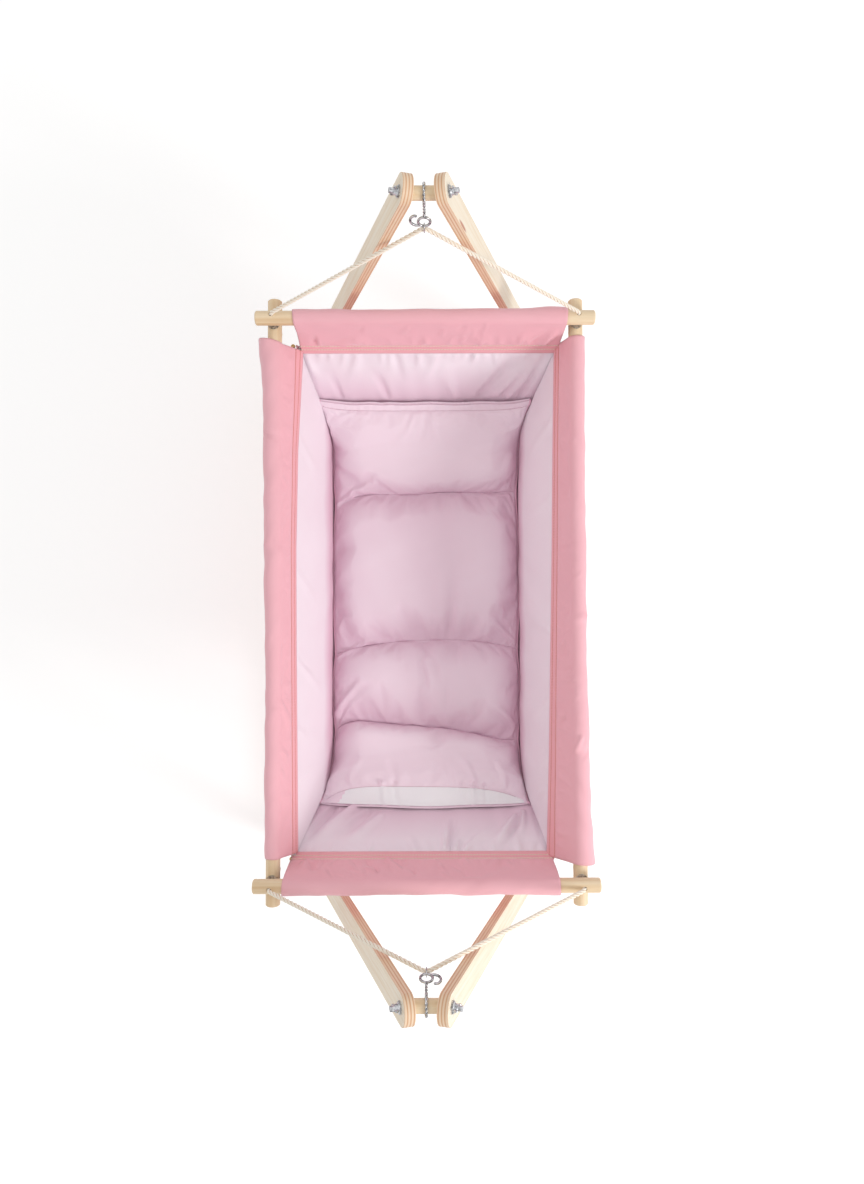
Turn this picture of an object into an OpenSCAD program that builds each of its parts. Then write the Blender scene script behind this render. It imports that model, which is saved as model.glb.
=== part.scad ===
// Swinging cradle hung between two plywood A-frames. Origin on the floor under the cradle's middle:
// +Y towards the head end, +X to the right, +Z up. Millimetres and degrees.

/* [Stand] */
// Height of the rods at the top of the A-frames
apex_height = 900; // [860:5:960]
// Distance from the middle to each apex rod, along the cradle
apex_reach = 563; // [560:1:590]
// Diameter of the apex rods
apex_rod_d = 20; // [18:1:22]
// Gap between a pair of legs at the apex rod
leg_gap = 40; // [38:1:60]
// Width of a leg board, along the cradle
leg_width = 45; // [40:1:50]
// Thickness of the plywood
leg_thick = 16; // [14:1:20]
// How far the legs stand outboard of the apex rods
leg_offset = 3; // [3:0.5:6]
// Slope of the legs from upright
leg_splay = 17; // [14:0.5:20]
// Width of the lower side rails, along the slope
rail_width = 60; // [50:1:80]
// Distance up the leg from the floor to a side rail's middle line
rail_up = 90; // [70:1:120]
// Diameter of the spreader rods between the feet
spreader_d = 25; // [20:1:30]
// Height of the spreader rods
spreader_height = 190; // [180:1:240]

/* [Fasteners] */
// Diameter of the studs and screws at the apex
stud_d = 8; // [6:1:8]
// How far a stud reaches into the wood of a rod
stud_bite = 14; // [12:1:15]
// Diameter of the rail bolts and spreader screws
bolt_d = 6; // [5:1:6]
// Diameter of the washers under the wing nuts
washer_d = 18; // [17:1:20]
// Thickness of the washers
washer_thick = 1.6; // [1.2:0.1:2]
// Height of a wing nut's hub
nut_height = 9; // [8:0.5:10]
// Span over a wing nut's wings
nut_span = 32; // [30:1:36]
// Radial play between a wing nut and its stud
nut_play = 0.05; // [0.03:0.01:0.09]

/* [Hangers] */
// Diameter of the wire
wire_d = 4; // [3.5:0.5:4.5]
// Distance from the apex rod's axis down to the middle of the eye
eye_drop = 57; // [56:1:66]
// Radius of the eye, to the middle of the wire
eye_r = 9; // [9:0.5:10]
// Gap left where one loose piece hangs on another
seat_gap = 0.3; // [0.2:0.05:0.4]

/* [Cradle frame] */
// Height of the side rods' axes
side_rod_height = 587; // [560:1:600]
// Diameter of the four rods
rod_d = 25; // [24:1:28]
// Distance from the middle to each side rod's axis
side_rod_reach = 267; // [258:1:280]
// Length of a side rod
side_rod_length = 1062; // [1050:1:1070]
// Distance from the middle to each end rod's axis
end_rod_reach = 490; // [485:1:494]
// Length of an end rod
end_rod_length = 592; // [588:1:620]
// Chamfer on the rods' ends
rod_chamfer = 2; // [1:0.5:3]
// Thickness of the washers between crossing rods
corner_washer_thick = 2; // [1.5:0.5:3]
// Diameter of the washers between crossing rods
corner_washer_d = 22; // [20:1:24]

/* [Rope] */
// Diameter of the rope
rope_d = 7.5; // [6:0.5:7.5]
// Play of the rope in its holes, all round
rope_play = 0.35; // [0.2:0.05:0.6]
// Diameter of a stopper knot
knot_d = 18; // [16:1:22]
// Length of rope left below a knot
rope_tail = 22; // [14:1:40]
// Radius of the rope's bend over its link
bight_r = 9; // [8:0.5:10]

/* [Bag] */
// Height of the seam where casings, bag and lining meet
seam_height = 545; // [538:1:550]
// Height of the bag's inside floor
floor_height = 350; // [330:1:370]
// Half the inside width at the seam
seam_half_width = 237; // [232:1:240]
// Half the inside width at the floor
floor_half_width = 187; // [180:1:200]
// Half the inside length at the seam
seam_half_length = 459; // [452:1:461]
// Slope of the end walls from level
end_slope = 59.8; // [56:0.2:64]
// Radius of the bend from the floor up to an end wall
bend_r = 104; // [80:1:120]
// Thickness of the padded lining walls
lining_thick = 6.1; // [5:0.1:7]
// Thickness of the lining on the floor
floor_lining_thick = 3; // [2:0.1:3.5]
// Thickness of the base board
board_thick = 2.8; // [2:0.1:3]
// Thickness of the outer cloth
cloth_thick = 2; // [1.6:0.1:2.4]
// Gap between layers of cloth
layer_gap = 0.3; // [0.2:0.05:0.4]
// Play of a casing round its rod
casing_play = 0.3; // [0.2:0.05:1]
// How far the casings stop short of the bag's corners
casing_end_gap = 1; // [0.5:0.5:8]
// Depth of the gathers in the end linings, at the seam
gather_depth = 4; // [2:0.5:5]
// Number of gathers across an end lining
gathers = 12; // [9:1:12]
// Diameter of the brass snaps at the bag's corners
snap_d = 8; // [6:1:8]

/* [Mattress] */
// Length of the mattress from its middle to each end, along its underside
mattress_half_length = 425; // [400:1:430]
// Height of the crown between two sewn channels
crown = 56; // [45:1:60]
// Thickness left in a sewn channel
channel_thick = 22; // [16:1:26]
// Distance along the mattress from its middle to the channel nearest the head
channel_head = 219; // [190:1:250]
// Distance to the middle channel, which lies on the foot side
channel_middle = 84; // [60:1:110]
// Distance to the channel nearest the foot
channel_foot = 243; // [220:1:270]
// Thickness of the head edge
head_edge = 14; // [10:1:24]
// Thickness of the foot edge
foot_edge = 32; // [20:1:36]
// Gap between the mattress and the lining
mattress_gap = 0.5; // [0.4:0.1:1]

/* [Hidden] */
$fn = 64;
ENDS = ["head", "foot"];
SIDES = ["left", "right"];
eps = 0.01;

wood = "burlywood";
ply = "wheat";
steel = "silver";
rope_colour = "linen";
pink = "lightpink";
lilac = "thistle";

// Stand
leg_end_r = leg_width / 2;
stud_hole_d = stud_d + 0.4;
bolt_hole_d = bolt_d + 0.4;
leg_long = apex_height / cos(leg_splay) + 2 * leg_thick;
foot_end = apex_reach + leg_offset + leg_end_r;
rail_centre = -apex_height / cos(leg_splay) + rail_up;
rail_bolt_pitch = rail_width * 0.5;
spreader_centre = -(apex_height - spreader_height) / cos(leg_splay);
spreader_reach = leg_gap / 2 + (apex_height - spreader_height) * tan(leg_splay);

// Hang line: from an apex rod's axis to the end rod's axis
rod_rise = rod_d + corner_washer_thick;
end_rod_height = side_rod_height + rod_rise;
hang_run = apex_reach - end_rod_reach;
hang_fall = apex_height - end_rod_height;
hang_length = norm([hang_run, hang_fall]);
hang_tilt = atan2(hang_run, hang_fall);

// Hanger and link, measured down the hang line
loop_r = apex_rod_d / 2 + wire_d / 2 + 1.5;
loop_drop = loop_r - apex_rod_d / 2 - wire_d / 2 - seat_gap;
eye_top = eye_drop - eye_r;
eye_bottom = eye_drop + eye_r;
link_r = rope_d / 2 + wire_d / 2 + 0.25;
link_top = eye_bottom - wire_d - seat_gap;
bight_drop = eye_bottom + wire_d / 2 + 2 * seat_gap + rope_d / 2;
link_bottom = bight_drop + rope_d / 2 + wire_d / 2 + 0.1;

// Rope, measured down the hang line
rope_r = rope_d / 2;
joint_swell = 0.4;
rope_hole_d = rope_d + 2 * rope_play;
exit_drop = hang_length - rod_d / 2 - 0.8 * rope_r;
bight_centre = [0, -bight_drop - bight_r];
exit_point = [side_rod_reach, -exit_drop];
knot_drop = (apex_height - side_rod_height + rod_d / 2 + knot_d / 2 + seat_gap) / cos(hang_tilt);

// Bag profile: x is along the cradle, y is height
slope_dir = [cos(end_slope), sin(end_slope)];
slope_foot = seam_half_length - (seam_height - floor_height) / tan(end_slope);
bend_tangent = bend_r * tan(end_slope / 2);
bend_centre = [slope_foot - bend_tangent, floor_height + bend_r];
bend_end = [slope_foot, floor_height] + bend_tangent * slope_dir;
bend_length = bend_r * end_slope * PI / 180;
wall_lean = atan((seam_half_width - floor_half_width) / (seam_height - floor_height));
side_casing_half = seam_half_length - casing_end_gap;
end_casing_half = seam_half_width - casing_end_gap;
shell_in = lining_thick + layer_gap;
shell_out = shell_in + cloth_thick;
board_in = floor_lining_thick + layer_gap / 2;
side_gap = 0.25;
bend_steps = 12;
bend_rows = 7;
wall_rows = 4;

function inside_half_width(z) =
    floor_half_width + (z - floor_height) * tan(wall_lean);

// Point on the bag's inside profile, a distance along from the middle and a height off the cloth
function profile(along, off) =
    let (s = abs(along), flip = along < 0 ? -1 : 1)
    let (a = (s - bend_centre[0]) / bend_r * 180 / PI)
    s <= bend_centre[0] ? [along, floor_height + off]
    : a < end_slope ? [
        flip * (bend_centre[0] + (bend_r - off) * sin(a)),
        bend_centre[1] - (bend_r - off) * cos(a)
    ]
    : let (p = bend_end + (s - bend_centre[0] - bend_length) * slope_dir
        + off * [-slope_dir[1], slope_dir[0]])
        [flip * p[0], p[1]];

// Places children made for the right-hand head corner
module corner(side, end) {
    mirror([side == "left" ? 1 : 0, 0, 0])
        mirror([0, end == "foot" ? 1 : 0, 0])
            children();
}

// Places children made for the head end
module at_end(end) {
    mirror([0, end == "foot" ? 1 : 0, 0]) children();
}

// Frame of a leg: origin on its inner face at the stud, X out through the board, Z up along it
module leg_frame() {
    translate([leg_gap / 2, apex_reach, apex_height])
        rotate([0, -leg_splay, 0])
            children();
}

// Cylinder along X from the origin
module peg(d, length) {
    rotate([0, 90, 0]) cylinder(d = d, h = length);
}

// Extrudes an outline drawn in Y and Z along X, centred
module along_x(length) {
    rotate([90, 0, 90]) linear_extrude(length, center = true) children();
}

// Extrudes an outline drawn in X and Z along Y, centred
module along_y(length) {
    rotate([90, 0, 0]) linear_extrude(length, center = true) children();
}

// --- stand ---

module leg() {
    color(ply)
        difference() {
            leg_frame() {
                difference() {
                    translate([leg_thick / 2, leg_offset, 0])
                        along_x(leg_thick)
                            union() {
                                circle(r = leg_end_r);
                                translate([-leg_end_r, -leg_long]) square([leg_width, leg_long]);
                            }
                    translate([-1, 0, 0]) peg(stud_hole_d, leg_thick + 2);
                    for (v = [-1, 1] * rail_bolt_pitch / 2)
                        translate([-1, leg_offset, rail_centre + v]) peg(bolt_hole_d, leg_thick + 2);
                    translate([-1, leg_offset, spreader_centre]) peg(bolt_hole_d, leg_thick + 2);
                }
            }
            translate([0, 0, -leg_long]) cube(2 * [leg_long, leg_long, leg_long], center = true);
        }
}

module apex_rod() {
    color(wood)
        difference() {
            translate([0, apex_reach, apex_height]) along_x(4 * leg_gap) circle(d = apex_rod_d);
            for (side = SIDES)
                corner(side, "head")
                    leg_frame() {
                        translate([0, -50, -50]) cube(100);
                        translate([-stud_bite, 0, 0]) peg(stud_d, stud_bite + 1);
                    }
        }
}

module apex_studs() {
    color(steel)
        for (end = ENDS, side = SIDES)
            corner(side, end)
                leg_frame()
                    translate([-stud_bite, 0, 0])
                        peg(stud_d, stud_bite + leg_thick + washer_thick + nut_height + 4);
}

module apex_washers() {
    color(steel)
        for (end = ENDS, side = SIDES)
            corner(side, end)
                leg_frame()
                    translate([leg_thick, 0, 0])
                        difference() {
                            peg(washer_d, washer_thick);
                            translate([-1, 0, 0]) peg(stud_hole_d, washer_thick + 2);
                        }
}

module wing_outline() {
    for (flip = [0, 1])
        mirror([flip, 0])
            polygon([[3, 1], [nut_span * 0.28, 2], [nut_span / 2 - 1, nut_height * 0.75],
                [nut_span / 2, nut_height * 1.35], [nut_span / 2 - 5, nut_height * 1.5],
                [nut_span * 0.25, nut_height]]);
}

module wing_nut() {
    color(steel)
        leg_frame()
            translate([leg_thick + washer_thick + 0.1, 0, 0])
                rotate([0, 90, 0])
                    difference() {
                        union() {
                            cylinder(d1 = 16, d2 = 13, h = nut_height);
                            rotate([90, 0, 0]) linear_extrude(3, center = true) wing_outline();
                        }
                        translate([0, 0, -1]) cylinder(r = stud_d / 2 + nut_play, h = 3 * nut_height);
                    }
}

module side_rail() {
    color(ply)
        leg_frame()
            translate([-leg_thick / 2, -apex_reach, rail_centre])
                difference() {
                    along_x(leg_thick)
                        union() {
                            square([2 * foot_end - rail_width, rail_width], center = true);
                            for (y = [-1, 1] * (foot_end - rail_width / 2))
                                translate([y, 0]) circle(d = rail_width);
                        }
                    for (y = [-1, 1] * (apex_reach + leg_offset), v = [-1, 1] * rail_bolt_pitch / 2)
                        translate([-leg_thick, y, v]) peg(bolt_hole_d, 2 * leg_thick);
                }
}

// Places children at each rail bolt, on the leg's outer face
module at_rail_bolts() {
    for (end = ENDS, side = SIDES)
        corner(side, end)
            leg_frame()
                for (v = [-1, 1] * rail_bolt_pitch / 2)
                    translate([leg_thick, leg_offset, rail_centre + v])
                        children();
}

module socket_bolt(length) {
    head_height = 0.6 * bolt_d;
    rotate([0, 90, 0])
        difference() {
            union() {
                cylinder(d1 = 2 * bolt_d + 2, d2 = 1.5 * bolt_d, h = head_height);
                translate([0, 0, -length]) cylinder(d = bolt_d, h = length + head_height / 2);
            }
            translate([0, 0, head_height / 2]) cylinder(d = bolt_d * 0.75, h = head_height, $fn = 6);
        }
}

module rail_bolts() {
    color(steel) at_rail_bolts() socket_bolt(2 * leg_thick + 6);
}

module rail_nuts() {
    color(steel)
        at_rail_bolts()
            translate([-2 * leg_thick - 5, 0, 0])
                difference() {
                    rotate([0, 90, 0]) cylinder(d = 11.5, h = 5, $fn = 6);
                    translate([-1, 0, 0]) peg(bolt_d, 7);
                }
}

module spreader() {
    color(wood)
        difference() {
            translate([0, apex_reach + leg_offset, spreader_height])
                along_x(3 * spreader_reach) circle(d = spreader_d);
            for (side = SIDES)
                corner(side, "head")
                    leg_frame() {
                        translate([0, -spreader_d, spreader_centre - 2 * spreader_d])
                            cube([2 * spreader_reach, 3 * spreader_d, 4 * spreader_d]);
                        translate([-3 * bolt_d, leg_offset, spreader_centre]) peg(bolt_d, 4 * bolt_d);
                    }
        }
}

module spreader_screws() {
    color(steel)
        for (end = ENDS, side = SIDES)
            corner(side, end)
                leg_frame()
                    translate([leg_thick, leg_offset, spreader_centre])
                        socket_bolt(leg_thick + 3 * bolt_d);
}

// --- hangers and links, drawn down the hang line: X across, Z up ---

module hang_frame() {
    translate([0, apex_reach, apex_height])
        rotate([-hang_tilt, 0, 0])
            children();
}

// Arc of wire in the X-Z plane, angles from +X towards +Z
module wire_arc(r, from, to) {
    rotate([90, 0, 0])
        rotate([0, 0, from])
            rotate_extrude(angle = to - from)
                translate([r, 0]) circle(d = wire_d, $fn = 32);
}

// Curled end of the wire, from the eye's underside round to a ball, clear of the rope as it swings
module hanger_tail() {
    big_r = eye_r + 1.5;
    small_r = 5;
    big = [-big_r + 0.3, -eye_drop + 3];
    curl = 135;
    small = big + (big_r - small_r) * [cos(curl), sin(curl)];
    translate([big[0], 0, big[1]]) wire_arc(big_r, curl, 290);
    translate([small[0], 0, small[1]]) {
        wire_arc(small_r, 10, curl);
        translate([small_r * cos(10), 0, small_r * sin(10)]) sphere(d = wire_d + 0.6, $fn = 32);
    }
}

module hanger() {
    shank_top = loop_drop + loop_r;
    color(steel)
        hang_frame() {
            translate([0, 0, -loop_drop])
                rotate([0, 90, 0]) rotate_extrude() translate([loop_r, 0]) circle(d = wire_d, $fn = 32);
            translate([0, 0, -eye_top]) cylinder(d = wire_d, h = eye_top - shank_top);
            translate([0, 0, -shank_top - 12]) cylinder(d = wire_d + 1.4, h = 11);
            translate([0, 0, -eye_drop])
                rotate([90, 0, 0]) rotate_extrude() translate([eye_r, 0]) circle(d = wire_d, $fn = 32);
            hanger_tail();
        }
}

module link() {
    straight = link_bottom - link_top - 2 * link_r;
    middle = (link_top + link_bottom) / 2;
    color(steel)
        hang_frame()
            translate([0, 0, -middle])
                rotate([0, 0, 90]) {
                    translate([0, 0, straight / 2]) wire_arc(link_r, 0, 180);
                    translate([0, 0, -straight / 2]) wire_arc(link_r, 180, 360);
                    for (x = [-link_r, link_r])
                        translate([x, 0, -straight / 2]) cylinder(d = wire_d, h = straight, $fn = 32);
                }
}

// --- ropes ---

// Bar from one point to another in the X-Z plane, with a ball a little thicker than the rope at
// its start, so that the joint is a clean circle
module rope_run(from, to) {
    run = to - from;
    translate([from[0], 0, from[1]]) {
        rotate([0, 90 - atan2(run[1], run[0]), 0]) cylinder(d = rope_d, h = norm(run));
        sphere(d = rope_d + joint_swell);
    }
}

module rope() {
    // Angle at which a straight run leaves the bight, found from the tangent to the bight's circle
    to_exit = exit_point - bight_centre;
    leave = atan2(to_exit[1], to_exit[0]) + acos(bight_r / norm(to_exit));
    start = bight_centre + bight_r * [cos(leave), sin(leave)];
    knot = [side_rod_reach, -knot_drop];
    color(rope_colour)
        hang_frame() {
            translate([bight_centre[0], 0, bight_centre[1]])
                rotate([90, 0, 0])
                    rotate([0, 0, leave])
                        rotate_extrude(angle = 180 - 2 * leave) translate([bight_r, 0]) circle(d = rope_d);
            for (flip = [0, 1])
                mirror([flip, 0, 0]) {
                    rope_run(start, exit_point);
                    rope_run(exit_point, knot);
                    translate([knot[0], 0, knot[1]]) sphere(d = knot_d);
                    translate([knot[0], 0, knot[1] - knot_d / 2 - rope_tail])
                        cylinder(d = rope_d, h = knot_d / 2 + rope_tail);
                }
        }
}

// --- rods ---

module chamfered_rod(length) {
    rotate_extrude()
        polygon([[0, -length / 2], [rod_d / 2 - rod_chamfer, -length / 2],
            [rod_d / 2, -length / 2 + rod_chamfer], [rod_d / 2, length / 2 - rod_chamfer],
            [rod_d / 2 - rod_chamfer, length / 2], [0, length / 2]]);
}

// Holes for the ropes, for cutting
module rope_holes(ends, sides) {
    for (end = ends, side = sides)
        corner(side, end)
            hang_frame()
                translate([side_rod_reach, 0, -hang_length - 3 * rod_d])
                    cylinder(d = rope_hole_d, h = 5 * rod_d);
}

module side_rod(side) {
    color(wood)
        difference() {
            translate([(side == "left" ? -1 : 1) * side_rod_reach, 0, side_rod_height])
                rotate([90, 0, 0]) chamfered_rod(side_rod_length);
            rope_holes(ENDS, [side]);
        }
}

module end_rod(end) {
    color(wood)
        difference() {
            at_end(end)
                translate([0, end_rod_reach, end_rod_height])
                    rotate([0, 90, 0]) chamfered_rod(end_rod_length);
            rope_holes([end], SIDES);
        }
}

module corner_washers() {
    middle = end_rod_height - rod_rise / 2;
    shift = (end_rod_height - middle) * tan(hang_tilt);
    color(steel)
        difference() {
            for (end = ENDS, side = SIDES)
                corner(side, end)
                    translate([side_rod_reach, end_rod_reach - shift, middle])
                        cylinder(d = corner_washer_d, h = corner_washer_thick, center = true);
            rope_holes(ENDS, SIDES);
        }
}

// --- casings ---

// Point where a line from a place touches a circle, on the side given by turn
function touch(place, centre, r, turn) =
    let (d = place - centre)
    centre + r * [cos(atan2(d[1], d[0]) + turn * acos(r / norm(d))),
        sin(atan2(d[1], d[0]) + turn * acos(r / norm(d)))];

// Outline of cloth hung over a rod and drawn in to a flat seam
module drop_outline(centre, r, inner, outer, low) {
    union() {
        translate(centre) circle(r = r);
        polygon([centre, touch([inner, low], centre, r, -1), [inner, low], [outer, low],
            touch([outer, low], centre, r, 1)]);
    }
}

module casing_outline(centre, inner, outer) {
    bore_r = rod_d / 2 + casing_play;
    lift = 3 * cloth_thick;
    pull = (centre[0] - (inner + outer) / 2) * lift / (centre[1] - seam_height);
    difference() {
        drop_outline(centre, bore_r + cloth_thick, inner, outer, seam_height);
        drop_outline(centre, bore_r, inner + cloth_thick + pull, outer - cloth_thick + pull,
            seam_height + lift);
    }
}

module side_casing(side) {
    color(pink)
        mirror([side == "left" ? 1 : 0, 0, 0])
            along_y(2 * side_casing_half)
                casing_outline([side_rod_reach, side_rod_height], seam_half_width,
                    seam_half_width + shell_out / cos(wall_lean));
}

module end_casing(end) {
    color(pink)
        at_end(end)
            along_x(2 * end_casing_half)
                casing_outline([end_rod_reach, end_rod_height], seam_half_length,
                    seam_half_length + shell_out / sin(end_slope));
}

// --- bag ---

// Wedge in X and Z between the side walls' inner faces
module between_walls() {
    low = floor_height - 3 * shell_out;
    along_y(4 * seam_half_length)
        polygon([[-inside_half_width(low) + side_gap, low], [inside_half_width(low) - side_gap, low],
            [inside_half_width(seam_height) - side_gap, seam_height],
            [-inside_half_width(seam_height) + side_gap, seam_height]]);
}

// Points of the bend behind the bag's inside face, from the floor up to the end wall
function bend_points(off) = [for (i = [0:bend_steps]) let (a = end_slope * i / bend_steps)
    bend_centre + (bend_r + off) * [sin(a), -cos(a)]];

// Point of an end wall at the seam
function top_point(off) = [seam_half_length + off / sin(end_slope), seam_height];

function backwards(list) = [for (i = [len(list) - 1:-1:0]) list[i]];

// Outline in Y and Z of an end wall and its bend, from one depth behind the inside face to another
module end_outline(from, to) {
    polygon(concat(bend_points(from), [top_point(from), top_point(to)], backwards(bend_points(to))));
}

module end_strip(end, from, to) {
    intersection() {
        at_end(end) along_x(3 * seam_half_width) end_outline(from, to);
        between_walls();
    }
}

module floor_strip(from, to) {
    intersection() {
        translate([0, 0, floor_height - (from + to) / 2])
            cube([4 * floor_half_width, 2 * bend_centre[0] - 2 * eps, to - from], center = true);
        between_walls();
    }
}

// Outline in Y and Z that a side wall covers: the whole profile with everything inside it
module side_outline() {
    reach = shell_out + side_gap;
    half = concat(bend_points(reach), [top_point(reach)]);
    polygon(concat(half, [for (p = backwards(half)) [-p[0], p[1]]]));
}

// Side wall between two depths behind its inside face
module side_wall(side, from, to) {
    low = floor_height - 3 * shell_out;
    lean_from = from / cos(wall_lean);
    lean_to = to / cos(wall_lean);
    mirror([side == "left" ? 1 : 0, 0, 0])
        intersection() {
            along_y(4 * seam_half_length)
                polygon([[inside_half_width(low) + lean_from, low], [inside_half_width(low) + lean_to, low],
                    [inside_half_width(seam_height) + lean_to, seam_height],
                    [inside_half_width(seam_height) + lean_from, seam_height]]);
            along_x(4 * seam_half_width) side_outline();
        }
}

// Closed sheet from two grids of points with the same rows and columns
module sheet(front, back) {
    rows = len(front);
    cols = len(front[0]);
    count = rows * cols;
    points = concat([for (row = front) each row], [for (row = back) each row]);
    function quad(a, b, c, d) = [[a, b, c], [a, c, d]];
    faces = concat(
        [for (i = [0:rows - 2], j = [0:cols - 2]) let (p = i * cols + j)
            each quad(p, p + 1, p + cols + 1, p + cols)],
        [for (i = [0:rows - 2], j = [0:cols - 2]) let (p = count + i * cols + j)
            each quad(p, p + cols, p + cols + 1, p + 1)],
        [for (i = [0:rows - 2]) let (p = i * cols, q = p + count)
            each quad(p, p + cols, q + cols, q)],
        [for (i = [0:rows - 2]) let (p = i * cols + cols - 1, q = p + count)
            each quad(p, q, q + cols, p + cols)],
        [for (j = [0:cols - 2]) let (p = j, q = p + count) each quad(p, q, q + 1, p + 1)],
        [for (j = [0:cols - 2]) let (p = (rows - 1) * cols + j, q = p + count)
            each quad(p, p + 1, q + 1, q)]
    );
    polyhedron(points, faces);
}

// Lining of an end wall, gathered where it is sewn to the casing
module end_lining(end) {
    first = bend_centre[0] + eps;
    wall = bend_centre[0] + bend_length;
    last = wall + (seam_height - bend_end[1]) / sin(end_slope);
    rows = concat([for (i = [0:bend_rows - 1]) first + (wall - first) * i / bend_rows],
        [for (i = [0:wall_rows]) wall + (last - wall) * i / wall_rows]);
    cols = 4 * gathers;
    function place(along, off, u) =
        let (p = profile(along, off))
        [u * (inside_half_width(p[1]) - side_gap), p[0], p[1]];
    // Depth of the gathers: none at the floor, full at the seam, none along the side edges
    function gather(along, u) =
        -gather_depth * pow((along - first) / (last - first), 1.5) * (1 - pow(u, 8))
            * (0.5 - 0.5 * cos(180 * gathers * (u + 1) + 50 * sin(150 * u)));
    color(lilac)
        at_end(end)
            sheet([for (along = rows) [for (j = [0:cols]) place(along, -lining_thick, 2 * j / cols - 1)]],
                [for (along = rows) [for (j = [0:cols]) let (u = 2 * j / cols - 1)
                    place(along, gather(along, u), u)]]);
}

module base_board() {
    color(ply) floor_strip(board_in, board_in + board_thick);
}

module corner_snaps() {
    place = [seam_half_width + shell_out / 2 / cos(wall_lean), side_casing_half + snap_d / 2 + 0.5];
    color("goldenrod")
        for (end = ENDS, side = SIDES)
            corner(side, end)
                translate([place[0], place[1], seam_height]) {
                    cylinder(d = snap_d, h = 2);
                    cylinder(d = snap_d * 0.6, h = 4.5);
                }
}

// --- mattress ---

channels = [-mattress_half_length, -channel_foot, -channel_middle, channel_head, mattress_half_length];
edge_thick = [foot_edge, channel_thick, channel_thick, channel_thick, head_edge];

// Section that holds a place along the mattress
function section(along) =
    along < channels[1] ? 0 : along < channels[2] ? 1 : along < channels[3] ? 2 : 3;

function mattress_thick(along, u) =
    let (k = section(along))
    let (t = (along - channels[k]) / (channels[k + 1] - channels[k]))
    let (base = edge_thick[k] + (edge_thick[k + 1] - edge_thick[k]) * t)
    let (swell = pow(max(0, 1 - pow(abs(2 * t - 1), 2.6)), 0.6))
    let (across = pow(max(0, 1 - pow(abs(u), 3.2)), 0.6))
    base * (0.45 + 0.55 * across) + (crown - base) * swell * across;

module mattress() {
    per_section = [8, 8, 12, 8];
    cols = 14;
    rows = [for (k = [0:3], i = [0:per_section[k] - 1])
        let (t = i / per_section[k]) channels[k] + (channels[k + 1] - channels[k]) * (1 - cos(180 * t)) / 2,
        mattress_half_length];
    function half(along, height) =
        inside_half_width(profile(along, height)[1]) - 3
            - 5 * pow(cos(180 * (along - channels[section(along)])
                / (channels[section(along) + 1] - channels[section(along)])), 8);
    function place(along, off, u) =
        let (p = profile(along, off)) [u * half(along, channel_thick / 2), p[0], p[1]];
    function grid(top) = [for (along = rows) [for (j = [0:cols])
        let (u = -cos(180 * j / cols), thick = mattress_thick(along, u))
        place(along, mattress_gap + (top ? thick : thick * 0.32 * pow(abs(u), 5)), u)]];
    color(lilac) sheet(grid(false), grid(true));
}

for (end = ENDS, side = SIDES) {
    corner(side, end) leg();
    corner(side, end) wing_nut();
}
for (end = ENDS) {
    at_end(end) apex_rod();
    at_end(end) spreader();
    rotate(end == "foot" ? 180 : 0) hanger();
    at_end(end) link();
    at_end(end) rope();
    end_rod(end);
    end_casing(end);
    color(pink) end_strip(end, shell_in, shell_out);
    end_lining(end);
}
for (side = SIDES) {
    corner(side, "head") side_rail();
    side_rod(side);
    side_casing(side);
    color(pink) side_wall(side, shell_in, shell_out);
    color(lilac) side_wall(side, 0, lining_thick);
}
apex_studs();
apex_washers();
rail_bolts();
rail_nuts();
spreader_screws();
corner_washers();
corner_snaps();
color(pink) floor_strip(shell_in, shell_out);  // shell_floor
color(lilac) floor_strip(0, floor_lining_thick);  // lining_floor
base_board();
mattress();
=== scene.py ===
# %% [markdown]
# # A swinging cradle, dressed in Blender
# The frame holds the cradle's solid parts at their real size: two A-frames of plywood legs, four
# rods, ropes, and plain solids where the cloth goes. This lesson gives each of them its finish,
# and makes the cloth, the ropes and the stitching as meshes around that frame.
# Everything is in metres, with the floor at Z = 0 and the head end towards +Y.

# %% Load the frame
import math
import random

import bmesh
import bpy
import numpy as np
from mathutils import Matrix, Vector


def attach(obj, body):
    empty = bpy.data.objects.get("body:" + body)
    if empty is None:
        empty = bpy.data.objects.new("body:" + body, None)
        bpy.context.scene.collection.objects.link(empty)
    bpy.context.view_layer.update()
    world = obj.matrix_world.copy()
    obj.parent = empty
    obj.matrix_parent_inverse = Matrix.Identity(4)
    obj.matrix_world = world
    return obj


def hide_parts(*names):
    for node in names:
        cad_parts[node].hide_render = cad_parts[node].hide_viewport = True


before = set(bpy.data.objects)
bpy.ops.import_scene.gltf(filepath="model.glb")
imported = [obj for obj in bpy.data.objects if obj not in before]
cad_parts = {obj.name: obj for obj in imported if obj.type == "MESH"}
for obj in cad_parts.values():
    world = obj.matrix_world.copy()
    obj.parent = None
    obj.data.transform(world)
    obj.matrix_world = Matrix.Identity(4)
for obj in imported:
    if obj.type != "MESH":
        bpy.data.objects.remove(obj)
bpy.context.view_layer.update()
MM = 0.001

# %% [markdown]
# ## The camera
# The photograph looks straight down from about two metres, with the cradle's head end at the top.
# The two ends differ a little in scale, so the camera leans two degrees towards the head end. A
# camera can be aimed with a track constraint, but a small lean and turn are easier to state as
# three angles, so its axes are worked out from those.

# %% Camera
CAMERA_PLACE = Vector((5.9, -42.5, 2063.0)) * MM
CAMERA_LEAN = math.radians(2.11)
CAMERA_PAN = math.radians(0.18)
CAMERA_ROLL = math.radians(0.18)
FOCAL_LENGTH_MM = 25.55


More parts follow.
